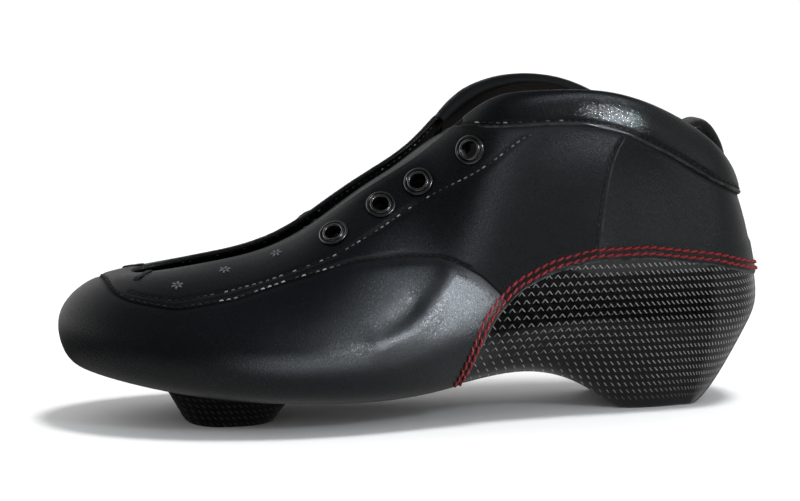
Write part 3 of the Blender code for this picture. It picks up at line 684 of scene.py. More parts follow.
class Tree:
    """A node tree with one way of adding a node."""

    def __init__(self, tree):
        self.tree = tree

    def node(self, kind, settings=None, inputs=None, output=0):
        """Adds a node, sets it, feeds its sockets and gives one of its outputs as a wire."""
        made = self.tree.nodes.new(kind)
        for name, value in (settings or {}).items():
            setattr(made, name, value)
        for name, value in (inputs or {}).items():
            self.feed(made.inputs[name], value)
        return Wire(self, made.outputs[output])

    def feed(self, socket, value):
        if isinstance(value, Wire):
            self.tree.links.new(value.socket, socket)
        else:
            socket.default_value = value

    def mix(self, share, first, second):
        """A colour between two others."""
        return self.node("ShaderNodeMix", {"data_type": "RGBA"}, {0: share, 6: first, 7: second}, 2)

    def value(self, name, output="Fac"):
        """A value stored at the points of the mesh."""
        return self.node("ShaderNodeAttribute", {"attribute_name": name}, None, output)

    def place(self):
        return self.node("ShaderNodeTexCoord", output="Object")

    def noise(self, size, detail=2.0, roughness=0.5):
        """Noise with blobs of a size in millimetres."""
        return self.node(
            "ShaderNodeTexNoise", None,
            {"Vector": self.place(), "Scale": 1 / (size * MM), "Detail": detail, "Roughness": roughness})

    def cells(self, size, output="Distance"):
        return self.node(
            "ShaderNodeTexVoronoi", None, {"Vector": self.place(), "Scale": 1 / (size * MM)}, output)

    def axes(self, vector):
        parts = self.node("ShaderNodeSeparateXYZ", None, {0: vector})
        return [Wire(self, socket) for socket in parts.socket.node.outputs]

    def bump(self, height, depth, strength=1.0):
        """A bump of a depth in millimetres for heights of 0 to 1."""
        return self.node(
            "ShaderNodeBump", None, {"Strength": strength, "Distance": depth * MM, "Height": height})


class Finish(Tree):
    """A procedural material round one Principled shader."""

    def __init__(self, name, **constants):
        material = bpy.data.materials.new(name)
        material.use_nodes = True
        super().__init__(material.node_tree)
        self.shader = self.tree.nodes["Principled BSDF"]
        self.show(**constants)

    def show(self, **inputs):
        """Feeds sockets of the shader: base_color is Base Color, and so on."""
        for name, value in inputs.items():
            self.feed(self.shader.inputs[name.replace("_", " ").title().replace("Ior", "IOR")], value)


def colour(name):
    return tuple(getattr(bpy.context.scene.boot_colours, name))


def leather_finish():
    """Blue-black satin leather with a fine grain, greyer where its edges are rubbed, with painted shade darkening it
    along seams, stitch rows, under the collar band and in hollows.
    """
    finish = Finish("satin_leather", ior=1.5)
    grain = sizes()["grain"]
    worn, groove, stamp = finish.value("worn"), finish.value("groove"), finish.value("stamp")
    fine = finish.noise(grain, 3.0, 0.6)
    pores = finish.cells(grain * 1.5)
    cloudy = finish.noise(38.0, 3.0)
    speck = finish.noise(grain * 1.2, 1.0).step(0.62, 0.74)
    rub = worn * finish.noise(2.2, 2.0).step(0.25, 0.7)
    dusty = finish.mix(speck * 0.14 + cloudy.step(0.45, 0.75) * 0.06, colour("leather"), (0.022, 0.024, 0.027, 1))
    scuffed = finish.mix(stamp * (0.5 + fine), finish.mix(rub, dusty, colour("worn")), (0.15, 0.155, 0.16, 1))
    # Painted shade: the base colour goes near-black and rougher along seams, stitch rows, under the collar band and in
    # hollows.
    finish.show(
        base_color=finish.mix(groove, scuffed, (0.0008, 0.0009, 0.001, 1)),
        roughness=0.28 + cloudy * 0.05 + (fine - 0.5) * 0.55 + rub * 0.1 + groove * 0.4,
        normal=finish.bump(fine + pores * 0.2, 0.105, 0.9),
    )


def lining_finish():
    """Dark brown-grey woven lining."""
    finish = Finish("woven_lining", specular_ior_level=0.25)
    x, y, z = finish.axes(finish.place())
    across = ((x + z) * (1 / (0.9 * MM))).cycle()
    along = ((y + z) * (1 / (0.9 * MM))).cycle()
    weave = abs(across - 0.5) * abs(along - 0.5) * 4
    patch = finish.noise(14.0, 4.0)
    light = finish.mix(weave, colour("lining"), (0.034, 0.030, 0.027, 1))
    finish.show(
        base_color=finish.mix(patch.step(0.4, 0.8) * 0.5, light, (0.010, 0.009, 0.008, 1)),
        roughness=0.78 + patch * 0.15,
        normal=finish.bump(weave, 0.12, 0.6),
    )


def carbon_finish():
    """Clear-coated carbon twill, with painted highlights where tows catch the light in slanted dashes."""
    finish = Finish("carbon_twill", coat_roughness=0.03, ior=1.5, specular_ior_level=0.2)
    size = sizes()
    along, row, pitch = finish.axes(finish.value("weave", "Vector"))
    step = row.floor() * 0.5
    up = row.cycle() - 0.5
    lean = size["dash_length"] * math.sin(math.radians(40))
    tall = size["dash_length"] * math.cos(math.radians(40)) / size["weave_row"]
    ends = 1 - abs(up).step(tall * 0.40, tall * 0.56)

    def streak(shift, way):
        away = abs(((along + step + shift).cycle() - 0.5) * pitch + up * (way * lean / tall))
        return (1 - away.step(size["dash_width"] * 0.40, size["dash_width"] * 0.85)) * ends

    dash = streak(0.0, 1)
    patch = finish.noise(9.0, 2.0)
    # Painted highlights: bright, partly metallic dashes where the tows would catch the light.
    glint_strength = dash * patch.step(0.2, 0.5) * finish.value("tracer") + streak(0.32, -1) * finish.value("zigzag")
    twill = ((along * 2 + row * 2).cycle() - 0.5) * 2
    ribs = 1 - abs(twill)
    cross = 1 - abs(((along * 2 - row * 2).cycle() - 0.5) * 2)
    block = ((along + step).floor() * 0.5).cycle() * 2
    ground = finish.mix(block * 0.5 + ribs * 0.5, colour("carbon"), (0.0026, 0.0026, 0.0026, 1))
    shade = finish.value("shade")
    ground = finish.mix(shade, ground, (0.0012, 0.0012, 0.0012, 1))
    finish.show(
        base_color=finish.mix(glint_strength, ground, colour("tow_glint")),
        metallic=glint_strength * 0.6,
        coat_weight=0.6 * (1 - shade),
        roughness=0.13 + block * 0.06 + glint_strength * 0.22 + shade * 0.75,
        normal=finish.bump(ribs * 0.5 + cross * 0.5 + dash * 0.3, 0.05, 0.5),
    )


def thread_finish(name, tone, strand):
    """Twisted sewing thread, with painted glints that turn some stitches pale grey."""
    finish = Finish(name)
    twist = ((finish.value("run") * 3.0 + finish.value("turn") * 2.0).cycle() - 0.5) * 2
    ply = 1 - abs(twist)
    fuzz = finish.noise(0.25, 2.0)
    strands = finish.mix(ply * 0.8 + fuzz * 0.2, tuple(c * 0.35 for c in tone[:3]) + (1,), tone)
    # Painted glint: the marked stitches are painted pale grey.
    finish.show(
        base_color=finish.mix(finish.value("pale"), strands, (0.34, 0.35, 0.36, 1)),
        roughness=strand + fuzz * 0.2,
        normal=finish.bump(ply, 0.10, 0.8),
    )


def metal_finish():
    """Gunmetal plating, brushed round by wear, with painted shade near-black in the valleys of the eyelet."""
    finish = Finish("gunmetal", metallic=1.0)
    scuff = finish.noise(0.8, 4.0, 0.65)
    stain = finish.noise(4.0, 2.0)
    # Painted shade: the metal goes near-black in the valleys of the eyelet.
    finish.show(
        base_color=finish.mix(
            finish.value("groove"), finish.mix(scuff.step(0.45, 0.75), colour("metal"), (0.55, 0.55, 0.56, 1)),
            (0.012, 0.012, 0.013, 1)),
        roughness=0.13 + stain * 0.12 + scuff * 0.08,
        normal=finish.bump(scuff, 0.02, 0.4),
    )


def webbing_finish():
    """Ribbed black webbing with a hairy surface."""
    finish = Finish("ribbed_webbing", sheen_weight=0.2, specular_ior_level=0.2)
    rib = abs((finish.value("run") * 26.0).cycle() - 0.5) * 2
    wale = abs((finish.value("turn") * 9.0).cycle() - 0.5) * 2
    fuzz = finish.noise(0.5, 3.0)
    finish.show(
        base_color=finish.mix(rib * wale * 0.6 + fuzz * 0.25, colour("webbing"), (0.045, 0.045, 0.048, 1)),
        roughness=0.72 + fuzz * 0.25,
        normal=finish.bump(rib * 0.6 + wale * 0.4 + fuzz * 0.4, 0.25, 0.8),
    )


def floor_finish():
    """Pale studio paper."""
    finish = Finish("studio_paper", specular_ior_level=0.1)
    grain = finish.noise(3.0, 3.0)
    tone = colour("floor")
    finish.show(
        base_color=finish.mix(grain, tone, tuple(c * 0.985 for c in tone[:3]) + (1,)),
        roughness=0.85 + grain * 0.1,
    )


def backdrop_finish():
    """White studio backdrop, a little lit of itself."""
    finish = Finish("studio_backdrop", emission_strength=1.0, base_color=(0, 0, 0, 1), specular_ior_level=0.0)
    fall = finish.noise(900.0, 1.0)
    finish.show(emission_color=finish.mix(fall, (1.02, 1.02, 1.02, 1), (1.0, 1.0, 1.0, 1)))


def make_finishes():
    leather_finish()
    lining_finish()
    carbon_finish()
    thread_finish("dark_thread", colour("thread"), 0.32)
    thread_finish("red_thread", colour("red"), 0.42)
    metal_finish()
    webbing_finish()
    floor_finish()
    backdrop_finish()


def rim_over(u, wall, height, turns, lift=0.0):
    """Points over the top edge, from the outside round to the inside."""
    edge, out = LAST.point(u, 1.0), LAST.normal(u, np.ones(len(u)))
    up = unit(LAST.upward(u, np.ones(len(u))))
    turns = np.radians(turns)[:, None]
    middle, reach = (lift - wall) / 2, (lift + wall) / 2
    sideways = (middle + reach * np.cos(turns))[..., None]
    return edge + out * sideways + up * (height * np.sin(turns))[..., None]


class LeatherUpper:
    """The relief of the lasted leather: how far each place stands off the plain skin."""

    def __init__(self):
        lines = [even(seam_line(side), SEARCH_PITCH) for side in (-1, 1)]
        ups = []
        for side, line in zip((-1, 1), lines):
            out = LAST.rest_on(line)[1]
            ups.append(-side * np.cross(out, unit(np.gradient(line, axis=0))))
        self.seam, self.up = np.concatenate(lines), np.concatenate(ups)
        self.tree = point_tree(self.seam)
        self.depth = sizes()["crease"]

    def lift(self, points):
        """Lift in millimetres: the vamp swells along the facing seam, and creases where the foot flexes."""
        found = [self.tree.find(point)[1] for point in points.reshape(-1, 3)]
        nearest = np.array(found).reshape(points.shape[:-1])
        away = points - self.seam[nearest]
        near = np.linalg.norm(away, axis=-1)
        below = np.clip(-(away * self.up[nearest]).sum(-1) / 1.2, 0, 1)
        flexing = bell(along_at(points[..., 0]) - FLEX_AT, FLEX_REACH)
        lift = below * (0.15 + 0.8 * flexing) * (1 - bell(near, 2.6)) * bell(near, 15.0)
        lift -= 0.25 * bell(near, 0.9) + 0.5 * (1 - below) * (near > 1.2)
        for crease in CREASES:
            places = smooth_path(crease.places, 60)
            for side, strength in ((-1, 1.0), (1, 0.7)):
                line = LAST.point(mirrored(places[:, 0], side), places[:, 1])
                lift += self.depth * strength * crease.height * bell(distance_to(points, line), crease.width) * below
        wave = np.sin(points[..., 0] * 0.11 + points[..., 2] * 0.07) * np.sin(points[..., 2] * 0.13 + 1.3)
        return lift + 0.12 * wave


class BOOT_OT_upper(bpy.types.Operator):
    """Lasted leather wall with its flex creases, rolled edges and lining"""

    bl_idname = "boot.upper"
    bl_label = "Leather Upper"

    def execute(self, context):
        u = np.linspace(0, 1, UPPER_COLUMNS, endpoint=False)
        edge = leather_edge_v(u)
        levels = np.linspace(0, 1, UPPER_ROWS)
        v = np.maximum(levels, edge[:, None] + (1 - edge[:, None]) * levels * 0.03)
        grid_u = np.broadcast_to(u[:, None], v.shape)
        points = LAST.point(grid_u, v)
        rim_line = LAST.point(np.append(u, 1.0), np.append(edge, edge[0]))
        inset = distance_to(points, rim_line)
        relief = LeatherUpper()
        rolled = 0.7 * (1 - np.clip(inset / 1.3, 0, 1)) ** 2
        lift = relief.lift(points) * np.clip(inset / 6.0, 0, 1) - rolled
        top = np.clip((1 - v) / 0.03, 0, 1)
        outside = LAST.skin(grid_u, v, lift * top).transpose(1, 0, 2)
        hem = LAST.skin(u, edge, -LEATHER)[None]
        wall = edge_wall(u)
        rim = rim_over(u, wall, np.minimum(wall * 0.35, 0.8), (30, 60, 90, 120, 150))
        worn = 0.8 * bell(inset, 0.6).T
        # Painted shade along the facing seam and a painted shadow under the collar band.
        seams = np.minimum(distance_to(points, relief.seam), distance_to(points, cuff_line()))
        groove = bell(seams, 0.9).T * (inset.T > 1.5)
        sheet = np.concatenate([hem, outside, rim])
        form = Form()
        form.grid(sheet, True, 0, off_eyelets(sheet) > EYELET_HOLE,
                  worn=np.concatenate([worn[:1], worn, np.full((len(rim), len(u)), 0.04)]),
                  groove=np.concatenate([groove[:1], groove, np.zeros((len(rim), len(u)))]))
        inside_v = edge[:, None] + (1 - edge[:, None]) * np.linspace(1, 0, INSIDE_ROWS)
        walls = leather_wall(u, inside_v)
        inside = LAST.skin(u[:, None], inside_v, -walls).transpose(1, 0, 2)
        form.grid(np.concatenate([rim[-1:], inside[:2]]), True, 0)
        form.grid(inside[1:], True, 1, off_eyelets(inside[1:]) > EYELET_HOLE)
        form.piece("upper_leather", ("satin_leather", "woven_lining"), "leather", "upper")
        return {"FINISHED"}


class BOOT_OT_facing(bpy.types.Operator):
    """Eyelet facing and quarters, sewn over the vamp in one panel"""

    bl_idname = "boot.facing"
    bl_label = "Facing"

    def execute(self, context):
        rise = sizes()["facing_rise"]
        u, v = facing_grid(FACING_COLUMNS, FACING_ROWS)
        points = LAST.point(u, v)
        throat = points[np.abs(u[:, -1]) < LAST.u_at(CUFF_FRONT, 0.9), -1]
        border = np.concatenate([points[:, 0], points[-1], points[0, ::-1]])
        seam = distance_to(points, points[:, 0])
        edge = np.minimum(distance_to(points, border), distance_to(points, throat))
        near = np.full(edge.shape, 9.0)
        for side in (-1, 1):
            for line in stitch_lines(side).values():
                near = np.minimum(near, distance_to(points, line))
        dome = rise * rounded(edge / 0.6)
        puff = 0.05 * bell(edge - 3.2, 1.6)
        eyes = off_eyelets(points)
        lift = dome + puff - 0.45 * bell(near, 0.75) - 0.3 * bell(eyes, 7.0)
        lift = np.where(edge < 1e-6, -0.45, lift)
        lift[..., -1] = -0.3
        worn = 0.6 * bell(edge, 0.45) * (seam > 1.5)
        # Painted shade along the stitch rows and the lower edge of the panel, and a painted shadow under the collar
        # band.
        shadow_under_cuff = bell(distance_to(points, cuff_line()), 1.0)
        groove = np.maximum(np.maximum(bell(near, 0.8), bell(seam, 1.0)), shadow_under_cuff)
        form = Form()
        form.grid(LAST.skin(u, v, lift).transpose(1, 0, 2), False, 0, (eyes > EYELET_HOLE).T,
                  worn=worn.T, groove=groove.T)
        form.piece("facing_panel", ("satin_leather",), "leather", "facing")
        return {"FINISHED"}


class BOOT_OT_collar(bpy.types.Operator):
    """Padded collar band, rolled over the top edge"""

    bl_idname = "boot.collar"
    bl_label = "Collar Band"

    def execute(self, context):
        u = collar_u()
        low = LAST.v_on_line(u, CUFF_LINE)
        share = (1 - np.cos(np.pi * np.linspace(0, 1, COLLAR_ROWS) * 0.86)) / (1 - math.cos(math.pi * 0.86))
        v = low[:, None] + (1 - low)[:, None] * share
        points = LAST.point(u[:, None], v)
        run = np.linalg.norm(points - points[:, :1], axis=2)
        total = run[:, -1:]
        close = np.clip(np.minimum(u - u[0], u[-1] - u)[:, None] * LAST.girth / 14.0, 0, 1)
        roll = rounded(run)
        tall = np.clip((total - 4.0) / 12.0, 0, 1)
        part = np.clip((run - 2.4) / np.maximum(total - 2.4, 1), 0, 1)
        swell = sizes()["collar_puff"] * np.sin(np.pi * part) - 0.5 * part**5
        lift = 1.25 * roll * close + swell * tall * close - 0.5 * bell(run - 1.9, 0.7) * close
        lift[:, 0] = -0.45
        lift = np.where(close <= 0, -0.45, lift)
        outside = LAST.skin(u[:, None], v, lift)
        wall = edge_wall(u)
        rim = rim_over(u, wall, np.minimum(wall * 0.32, 1.4), (20, 45, 70, 95, 120, 150, 175), lift[:, -1])
        sheet = np.concatenate([outside.transpose(1, 0, 2), rim])
        worn, groove = np.zeros((2, *sheet.shape[:2]))
        worn[:COLLAR_ROWS] = (0.5 * bell(run - 0.5, 0.5)).T
        worn[COLLAR_ROWS:COLLAR_ROWS + 2] = 0.4
        # Painted shade in the stitch groove of the band.
        groove[:COLLAR_ROWS] = bell(run - 1.9, 0.7).T
        inner = COLLAR_ROWS + 3
        form = Form()
        form.grid(sheet[:inner], False, 0, worn=worn[:inner], groove=groove[:inner])
        # Painted shade over the inside of the rim.
        form.grid(sheet[inner - 1:], False, 0, groove=0.85)
        band = form.piece("collar_band", ("satin_leather",), "leather", "cuff")
        return {"FINISHED"}


def shell_rings(u, rows):
    """Rings of the carbon shell: up the outside from the foot rim, over the lip and down to the footbed."""
    edge = leather_edge_v(u)
    overlap = LAST.climb(u, edge, np.ones(len(u)), np.array([SHELL_OVERLAP]))[:, 0]
    lip = np.maximum(overlap, LAST.v_on_line(u, SHELL_LIP))
    rebate = edge - RIM_GAP / COLLAR_HEIGHT
    hidden = -(LEATHER + SEAT_GAP)
    outside = [LAST.skin(u, edge * share, -CARBON_BELOW_LEATHER) for share in np.linspace(0, 1, rows)]
    lap = [LAST.skin(u, v, hidden) for v in (edge, (rebate + lip) / 2, lip)]
    bed = LAST.v_on_line(u, FOOTBED, hidden - CARBON)
    inside = [LAST.skin(u, lip + (bed - lip) * share, hidden - CARBON) for share in np.linspace(0, 1, LIP_ROWS)]
    rings = np.array(outside + lap + inside)
    rings[..., 2] = np.maximum(rings[..., 2], 0)
    return rings


def bridged(ring, steps):
    """A grid across a ring, from the outer side of the foot to the inner."""
    half = len(ring) // 2
    outer, inner = ring[: half + 1], np.concatenate([ring[:1], ring[:half - 1:-1]])
    share = np.linspace(0, 1, steps)[:, None, None]
    return outer * (1 - share) + inner * share


def weave_values(points, u):
    """Weave coordinates on the side of the shell: tows round it, rows up it, and the tow pitch in mm."""
    away = np.arange(0.0, LAST.girth / 2 + 1.0)
    pitch = np.interp(away, *np.array(TOW_PITCH).T)
    count = np.concatenate([[0], np.cumsum(1 / pitch[:-1])])
    round_heel = (np.mod(u, 1) - 0.5) * LAST.girth
    tows = np.sign(round_heel) * np.interp(np.abs(round_heel), away, count)
    rows = points[..., 2] / sizes()["weave_row"]
    return np.stack([tows, rows, np.interp(np.abs(round_heel), away, pitch)], -1)


def front_block(rows=22, columns=96):
    """Rings of the front mounting block, rounded at its foot and flared into the sole."""
    turns = turns_of(columns)
    circle = np.stack([np.cos(turns), np.sin(turns)], -1)
    circle /= (np.abs(circle) ** BLOCK_PLAN).sum(axis=1, keepdims=True) ** (1 / BLOCK_PLAN)
    rings = []
    for spread, height in smooth_path(BLOCK_STEPS, rows):
        flare = 0.12 * np.clip((height - 6.5) / 6.0, 0, 1) ** 2
        length, width = (flat + (top - flat) * (spread + flare) for flat, top in zip(BLOCK_FLAT, BLOCK_TOP))
        x = x_at(HEEL_BLOCK_AT) - MOUNT_SPACING + BLOCK_TOP_SHIFT * spread + circle[:, 0] * length / 2
        y = wide(SECTIONS[0].swing) + circle[:, 1] * width / 2
        rings.append(np.stack([x, y, np.full(columns, max(height, 0.0))], -1))
    return np.array(rings)


class BOOT_OT_shell(bpy.types.Operator):
    """Carbon shell with its heel block and front block, and the weave laid over them"""

    bl_idname = "boot.shell"
    bl_label = "Carbon Shell"

    def execute(self, context):
        u = np.linspace(0, 1, SHELL_COLUMNS, endpoint=False)
        rings = shell_rings(u, SHELL_ROWS)
        outside, lap = rings[:SHELL_ROWS], rings[SHELL_ROWS - 1:]
        weave = weave_values(outside, np.broadcast_to(u, outside.shape[:2]))
        # Painted tow highlights show towards the heel and above the foot rim, and painted zigzag highlights in a band
        # round the quarter.
        shown = np.clip((outside[..., 0] - x_at(53)) / 5, 0, 1) * np.clip(outside[..., 2] / 9 - 0.3, 0, 1)
        form = Form()
        round_heel = np.abs(u - 0.5) * LAST.girth
        zigzag = 0.55 * shown * bell(round_heel - 112, 22) * np.clip((outside[..., 2] - 22) / 8, 0, 1)
        form.grid(outside, True, 0, weave=weave, tracer=shown, zigzag=zigzag)
        form.grid(lap, True, 0, weave=weave_values(lap, np.broadcast_to(u, lap.shape[:2])), tracer=0.0)
        for ring, way in ((rings[0], 1), (rings[-1], -1)):
            floor = bridged(ring, 24)[::way]
            flat = np.stack([floor[..., 0] / 3.0, floor[..., 1] / 3.0, np.full(floor.shape[:2], 3.0)], -1)
            form.grid(floor, False, 0, weave=flat, tracer=0.0)
        block = front_block()
        flat = np.stack([block[..., 0] / 2.2, block[..., 2] / 2.4, np.full(block.shape[:2], 2.2)], -1)
        # The front block carries only faint painted tow highlights.
        foot = form.grid(block, True, 0, weave=flat, tracer=0.08, shade=1.0)
        form.cap(foot[0][::-1].tolist())
        form.piece("carbon_shell_skin", ("carbon_twill",), "carbon", "carbon_shell")
        return {"FINISHED"}


class BOOT_OT_footbed(bpy.types.Operator):
    """Removable footbed with a raised rim"""

    bl_idname = "boot.footbed"
    bl_label = "Footbed"

    def execute(self, context):
        u = np.linspace(0, 1, 240, endpoint=False)
        bed = shell_rings(u, 4)[-1]
        ahead = np.roll(bed, -1, axis=0) - np.roll(bed, 1, axis=0)
        inward = unit(np.stack([-ahead[:, 1], ahead[:, 0], np.zeros(len(bed))], -1))
        low = bed + inward * INSOLE_CLEARANCE + (0, 0, SEAT_GAP)
        rounds = ((0.0, 0.0), (-0.25, 0.5), (-0.2, 1.3), (0.3, 1.8), (1.0, INSOLE))
        wall = np.array([low + inward * inset + (0, 0, height) for inset, height in rounds])
        form = Form()
        form.grid(wall, True)
        top = bridged(wall[-1], 26)
        across = np.linspace(-1, 1, 26)[:, None]
        top[..., 2] -= 0.5 * (1 - across**2)
        form.grid(top)
        form.grid(bridged(wall[0], 10)[::-1])
        form.piece("footbed", ("woven_lining",), "lining", "insole")
        return {"FINISHED"}


class BOOT_OT_tongue(bpy.types.Operator):
    """Thin padded tongue across the throat"""

    bl_idname = "boot.tongue"
    bl_label = "Tongue"

    def execute(self, context):
        u = np.linspace(LAST.u_at(TONGUE_FRONT, 1.0), LAST.u_at(TONGUE_TOP, 1.0), TONGUE_ROWS)
        depth = edge_wall(u) + TONGUE / 2 + TONGUE_CLEARANCE
        count, columns = TONGUE_GRID
        rows = []
        for place, deep in zip(u, depth):
            v = np.linspace(1 - TONGUE_TUCK, 1, 3)
            outer = LAST.skin(place, v, -deep)
            inner = LAST.skin(1 - place, v[::-1], -deep)
            crest = (outer[-1] + inner[0]) / 2 + (0, 0, TONGUE_CREST)
            rows.append(smooth_path([*outer, crest, *inner], columns))
        rows.insert(0, rows[0] + TONGUE_TOE_SHIFT)
        middle = smooth_path(np.array(rows).reshape(len(rows), -1), count).reshape(count, columns, 3)
        out = unit(np.cross(np.gradient(middle, axis=1), np.gradient(middle, axis=0)))
        out *= np.sign(out[count // 2, columns // 2, 2])
        i, j = np.meshgrid(np.arange(count), np.arange(columns), indexing="ij")
        rim = np.minimum(np.minimum(i, count - 1 - i) * 0.95, np.minimum(j, columns - 1 - j) * 0.75)
        half = TONGUE / 2 * rounded(rim / 2.2)
        half -= 0.35 * bell(rim - 3.6, 0.8)
        top, base = middle + out * half[..., None], middle - out * half[..., None]
        form = Form()
        form.grid(top)
        form.grid(base[::-1], False, 1)
        pad = form.piece("tongue_pad", ("satin_leather", "woven_lining"), "lining", "tongue")
        stitches = Form()
        for column in (16, 44):
            # The tongue stitches carry painted glints.
            sew(stitches, (top[8:-8:4, column], out[8:-8:4, column]), 1.6, 0.3, 0.1, pale=0.9)
        stitches.piece("tongue_stitches", ("dark_thread",), "lining")
        return {"FINISHED"}


class BOOT_OT_loop(bpy.types.Operator):
    """Webbing pull loop over the back of the collar"""

    bl_idname = "boot.loop"
    bl_label = "Pull Loop"

    def execute(self, context):
        heel = LAST.point(0.5, 1.0)
        path = np.array([(back, 0, up) for back, up in LOOP_PATH]) + heel * (1, 0, 1)
        line = smooth_path(path, LOOP_RINGS)
        ahead = unit(np.gradient(line, axis=0))
        out = np.cross(ahead, (0, 1, 0))
        around = turns_of(36)
        sideways = np.sign(np.cos(around)) * np.abs(np.cos(around)) ** 0.45 * LOOP_WIDTH / 2
        thick = np.sign(np.sin(around)) * np.abs(np.sin(around)) ** 0.7 * LOOP_THICK / 2
        number = np.arange(LOOP_RINGS)
        ends = np.clip(np.minimum(number, LOOP_RINGS - 1 - number) / 2.0, 0.05, 1)[:, None, None]
        flat = np.stack([0 * around, sideways, 0 * around], -1)
        rings = line[:, None] + flat + out[:, None] * thick[:, None] * ends
        run = np.linspace(0, 1, LOOP_RINGS)[:, None]
        form = Form()
        form.grid(rings, True, 0, run=run, turn=(sideways / LOOP_WIDTH)[None])
        form.piece("loop_webbing", ("ribbed_webbing",), "webbing", "pull_loop")
        return {"FINISHED"}


def eyelet_frames():
    """Name, centre and way out of each eyelet."""
    v = np.linspace(0.5, 1, 201)
    for number, (along, drop, lift) in enumerate(EYELETS, start=1):
        u = LAST.u_at(along, 0.9)
        reach = np.linalg.norm(LAST.point(u, v) - LAST.point(u, 1.0), axis=1)
        at = v[np.abs(reach - drop).argmin()]
        for side, word in ((-1, "outer"), (1, "inner")):
            place, level = np.array([mirrored(u, side)]), np.array([at])
            centre, out = LAST.skin(place, level, lift)[0], LAST.normal(place, level)[0]
            yield f"eyelet_{word}_{number}", centre, out


class BOOT_OT_eyelets(bpy.types.Operator):
    """Stepped gunmetal eyelets, four each side"""

    bl_idname = "boot.eyelets"
    bl_label = "Eyelets"

    def execute(self, context):
        profile = smooth_path(EYELET_PROFILE, EYELET_RINGS)
        face = profile[:EYELET_BARREL + 1, :1]
        # Painted shade in the valley between the rim and the bead, and at the outer edge of the flange.
        valley_shade = np.maximum(bell(face - 4.33, 0.26), bell(face - 5.5, 0.12))
        turns = turns_of(RING_POINTS)
        seat = sizes()["facing_rise"]
        for name, centre, out in eyelet_frames():
            flat = np.stack([
                profile[:, :1] * np.cos(turns), profile[:, :1] * np.sin(turns),
                np.broadcast_to(profile[:, 1:] + seat, (len(profile), len(turns))),
            ], -1)
            form = Form()
            ring = centre + flat @ tilt_to(out).T
            form.grid(ring[:EYELET_BARREL + 1], True, 0, groove=valley_shade)
            # The barrel inside the hole takes the black leather finish: painted shade that makes the hole dark.
            form.grid(ring[EYELET_BARREL:], True, 1)
            form.piece(name + "_ring", ("gunmetal", "satin_leather"), "metal", name)
        return {"FINISHED"}


def off_eyelets(points):
    """Distance of points from the axis of the nearest eyelet, in millimetres."""
    away = np.full(points.shape[:-1], 99.0)
    for _, centre, out in eyelet_frames():
        gap = points - centre
        rise = gap @ out
        radius = np.linalg.norm(gap - rise[..., None] * out, axis=-1)
        away = np.where(np.abs(rise) < 12, np.minimum(away, radius), away)
    return away


def laid(line, pitch):
    """Places at an even pitch along a line on the skin, and the way out of it there."""
    return LAST.rest_on(even(line, pitch))


def sew(form, seats, length, radius, rise, slant=0.0, rings=5, sides=6, pale=0.0):
    """Adds a row of stitches at places with a way out, each a short twisted thread that dips in at both ends.

    The last argument sets the painted glints: how pale the lightest threads are painted, as a number or by the place
    along the length in percent.
    """
    places, out = seats
    places = places + out * rise
    ahead = unit(np.gradient(places, axis=0))
    across = np.cross(out, ahead)
    ahead = unit(ahead * math.cos(slant) + across * math.sin(slant))
    across = np.cross(out, ahead)
    t = np.linspace(-1, 1, rings)
    turn = turns_of(sides)
    core = places[:, None] + ahead[:, None] * (t * length / 2)[:, None]
    core = core - out[:, None] * ((radius + 0.25) * t**4)[:, None]
    thick = radius * np.sqrt(np.maximum(1 - t**6, 0.08))
    lobed = thick[:, None] * (1 + 0.12 * np.cos(2 * (turn - 1.6 * t[:, None])))
    spread = (lobed * np.cos(turn))[None, :, :, None] * across[:, None, None]
    height = (lobed * np.sin(turn))[None, :, :, None] * out[:, None, None]
    # Painted glints: a random share of the stitches is painted lighter.
    chance = np.random.default_rng(len(places)).random(len(places))
    light = chance**2 * (pale(along_at(places[:, 0])) if callable(pale) else pale)
    form.grids(core[:, :, None] + spread + height, True, 0, run=(t / 2 + 0.5)[None, :, None],
               turn=(turn / (2 * np.pi))[None, None], pale=light[:, None, None])


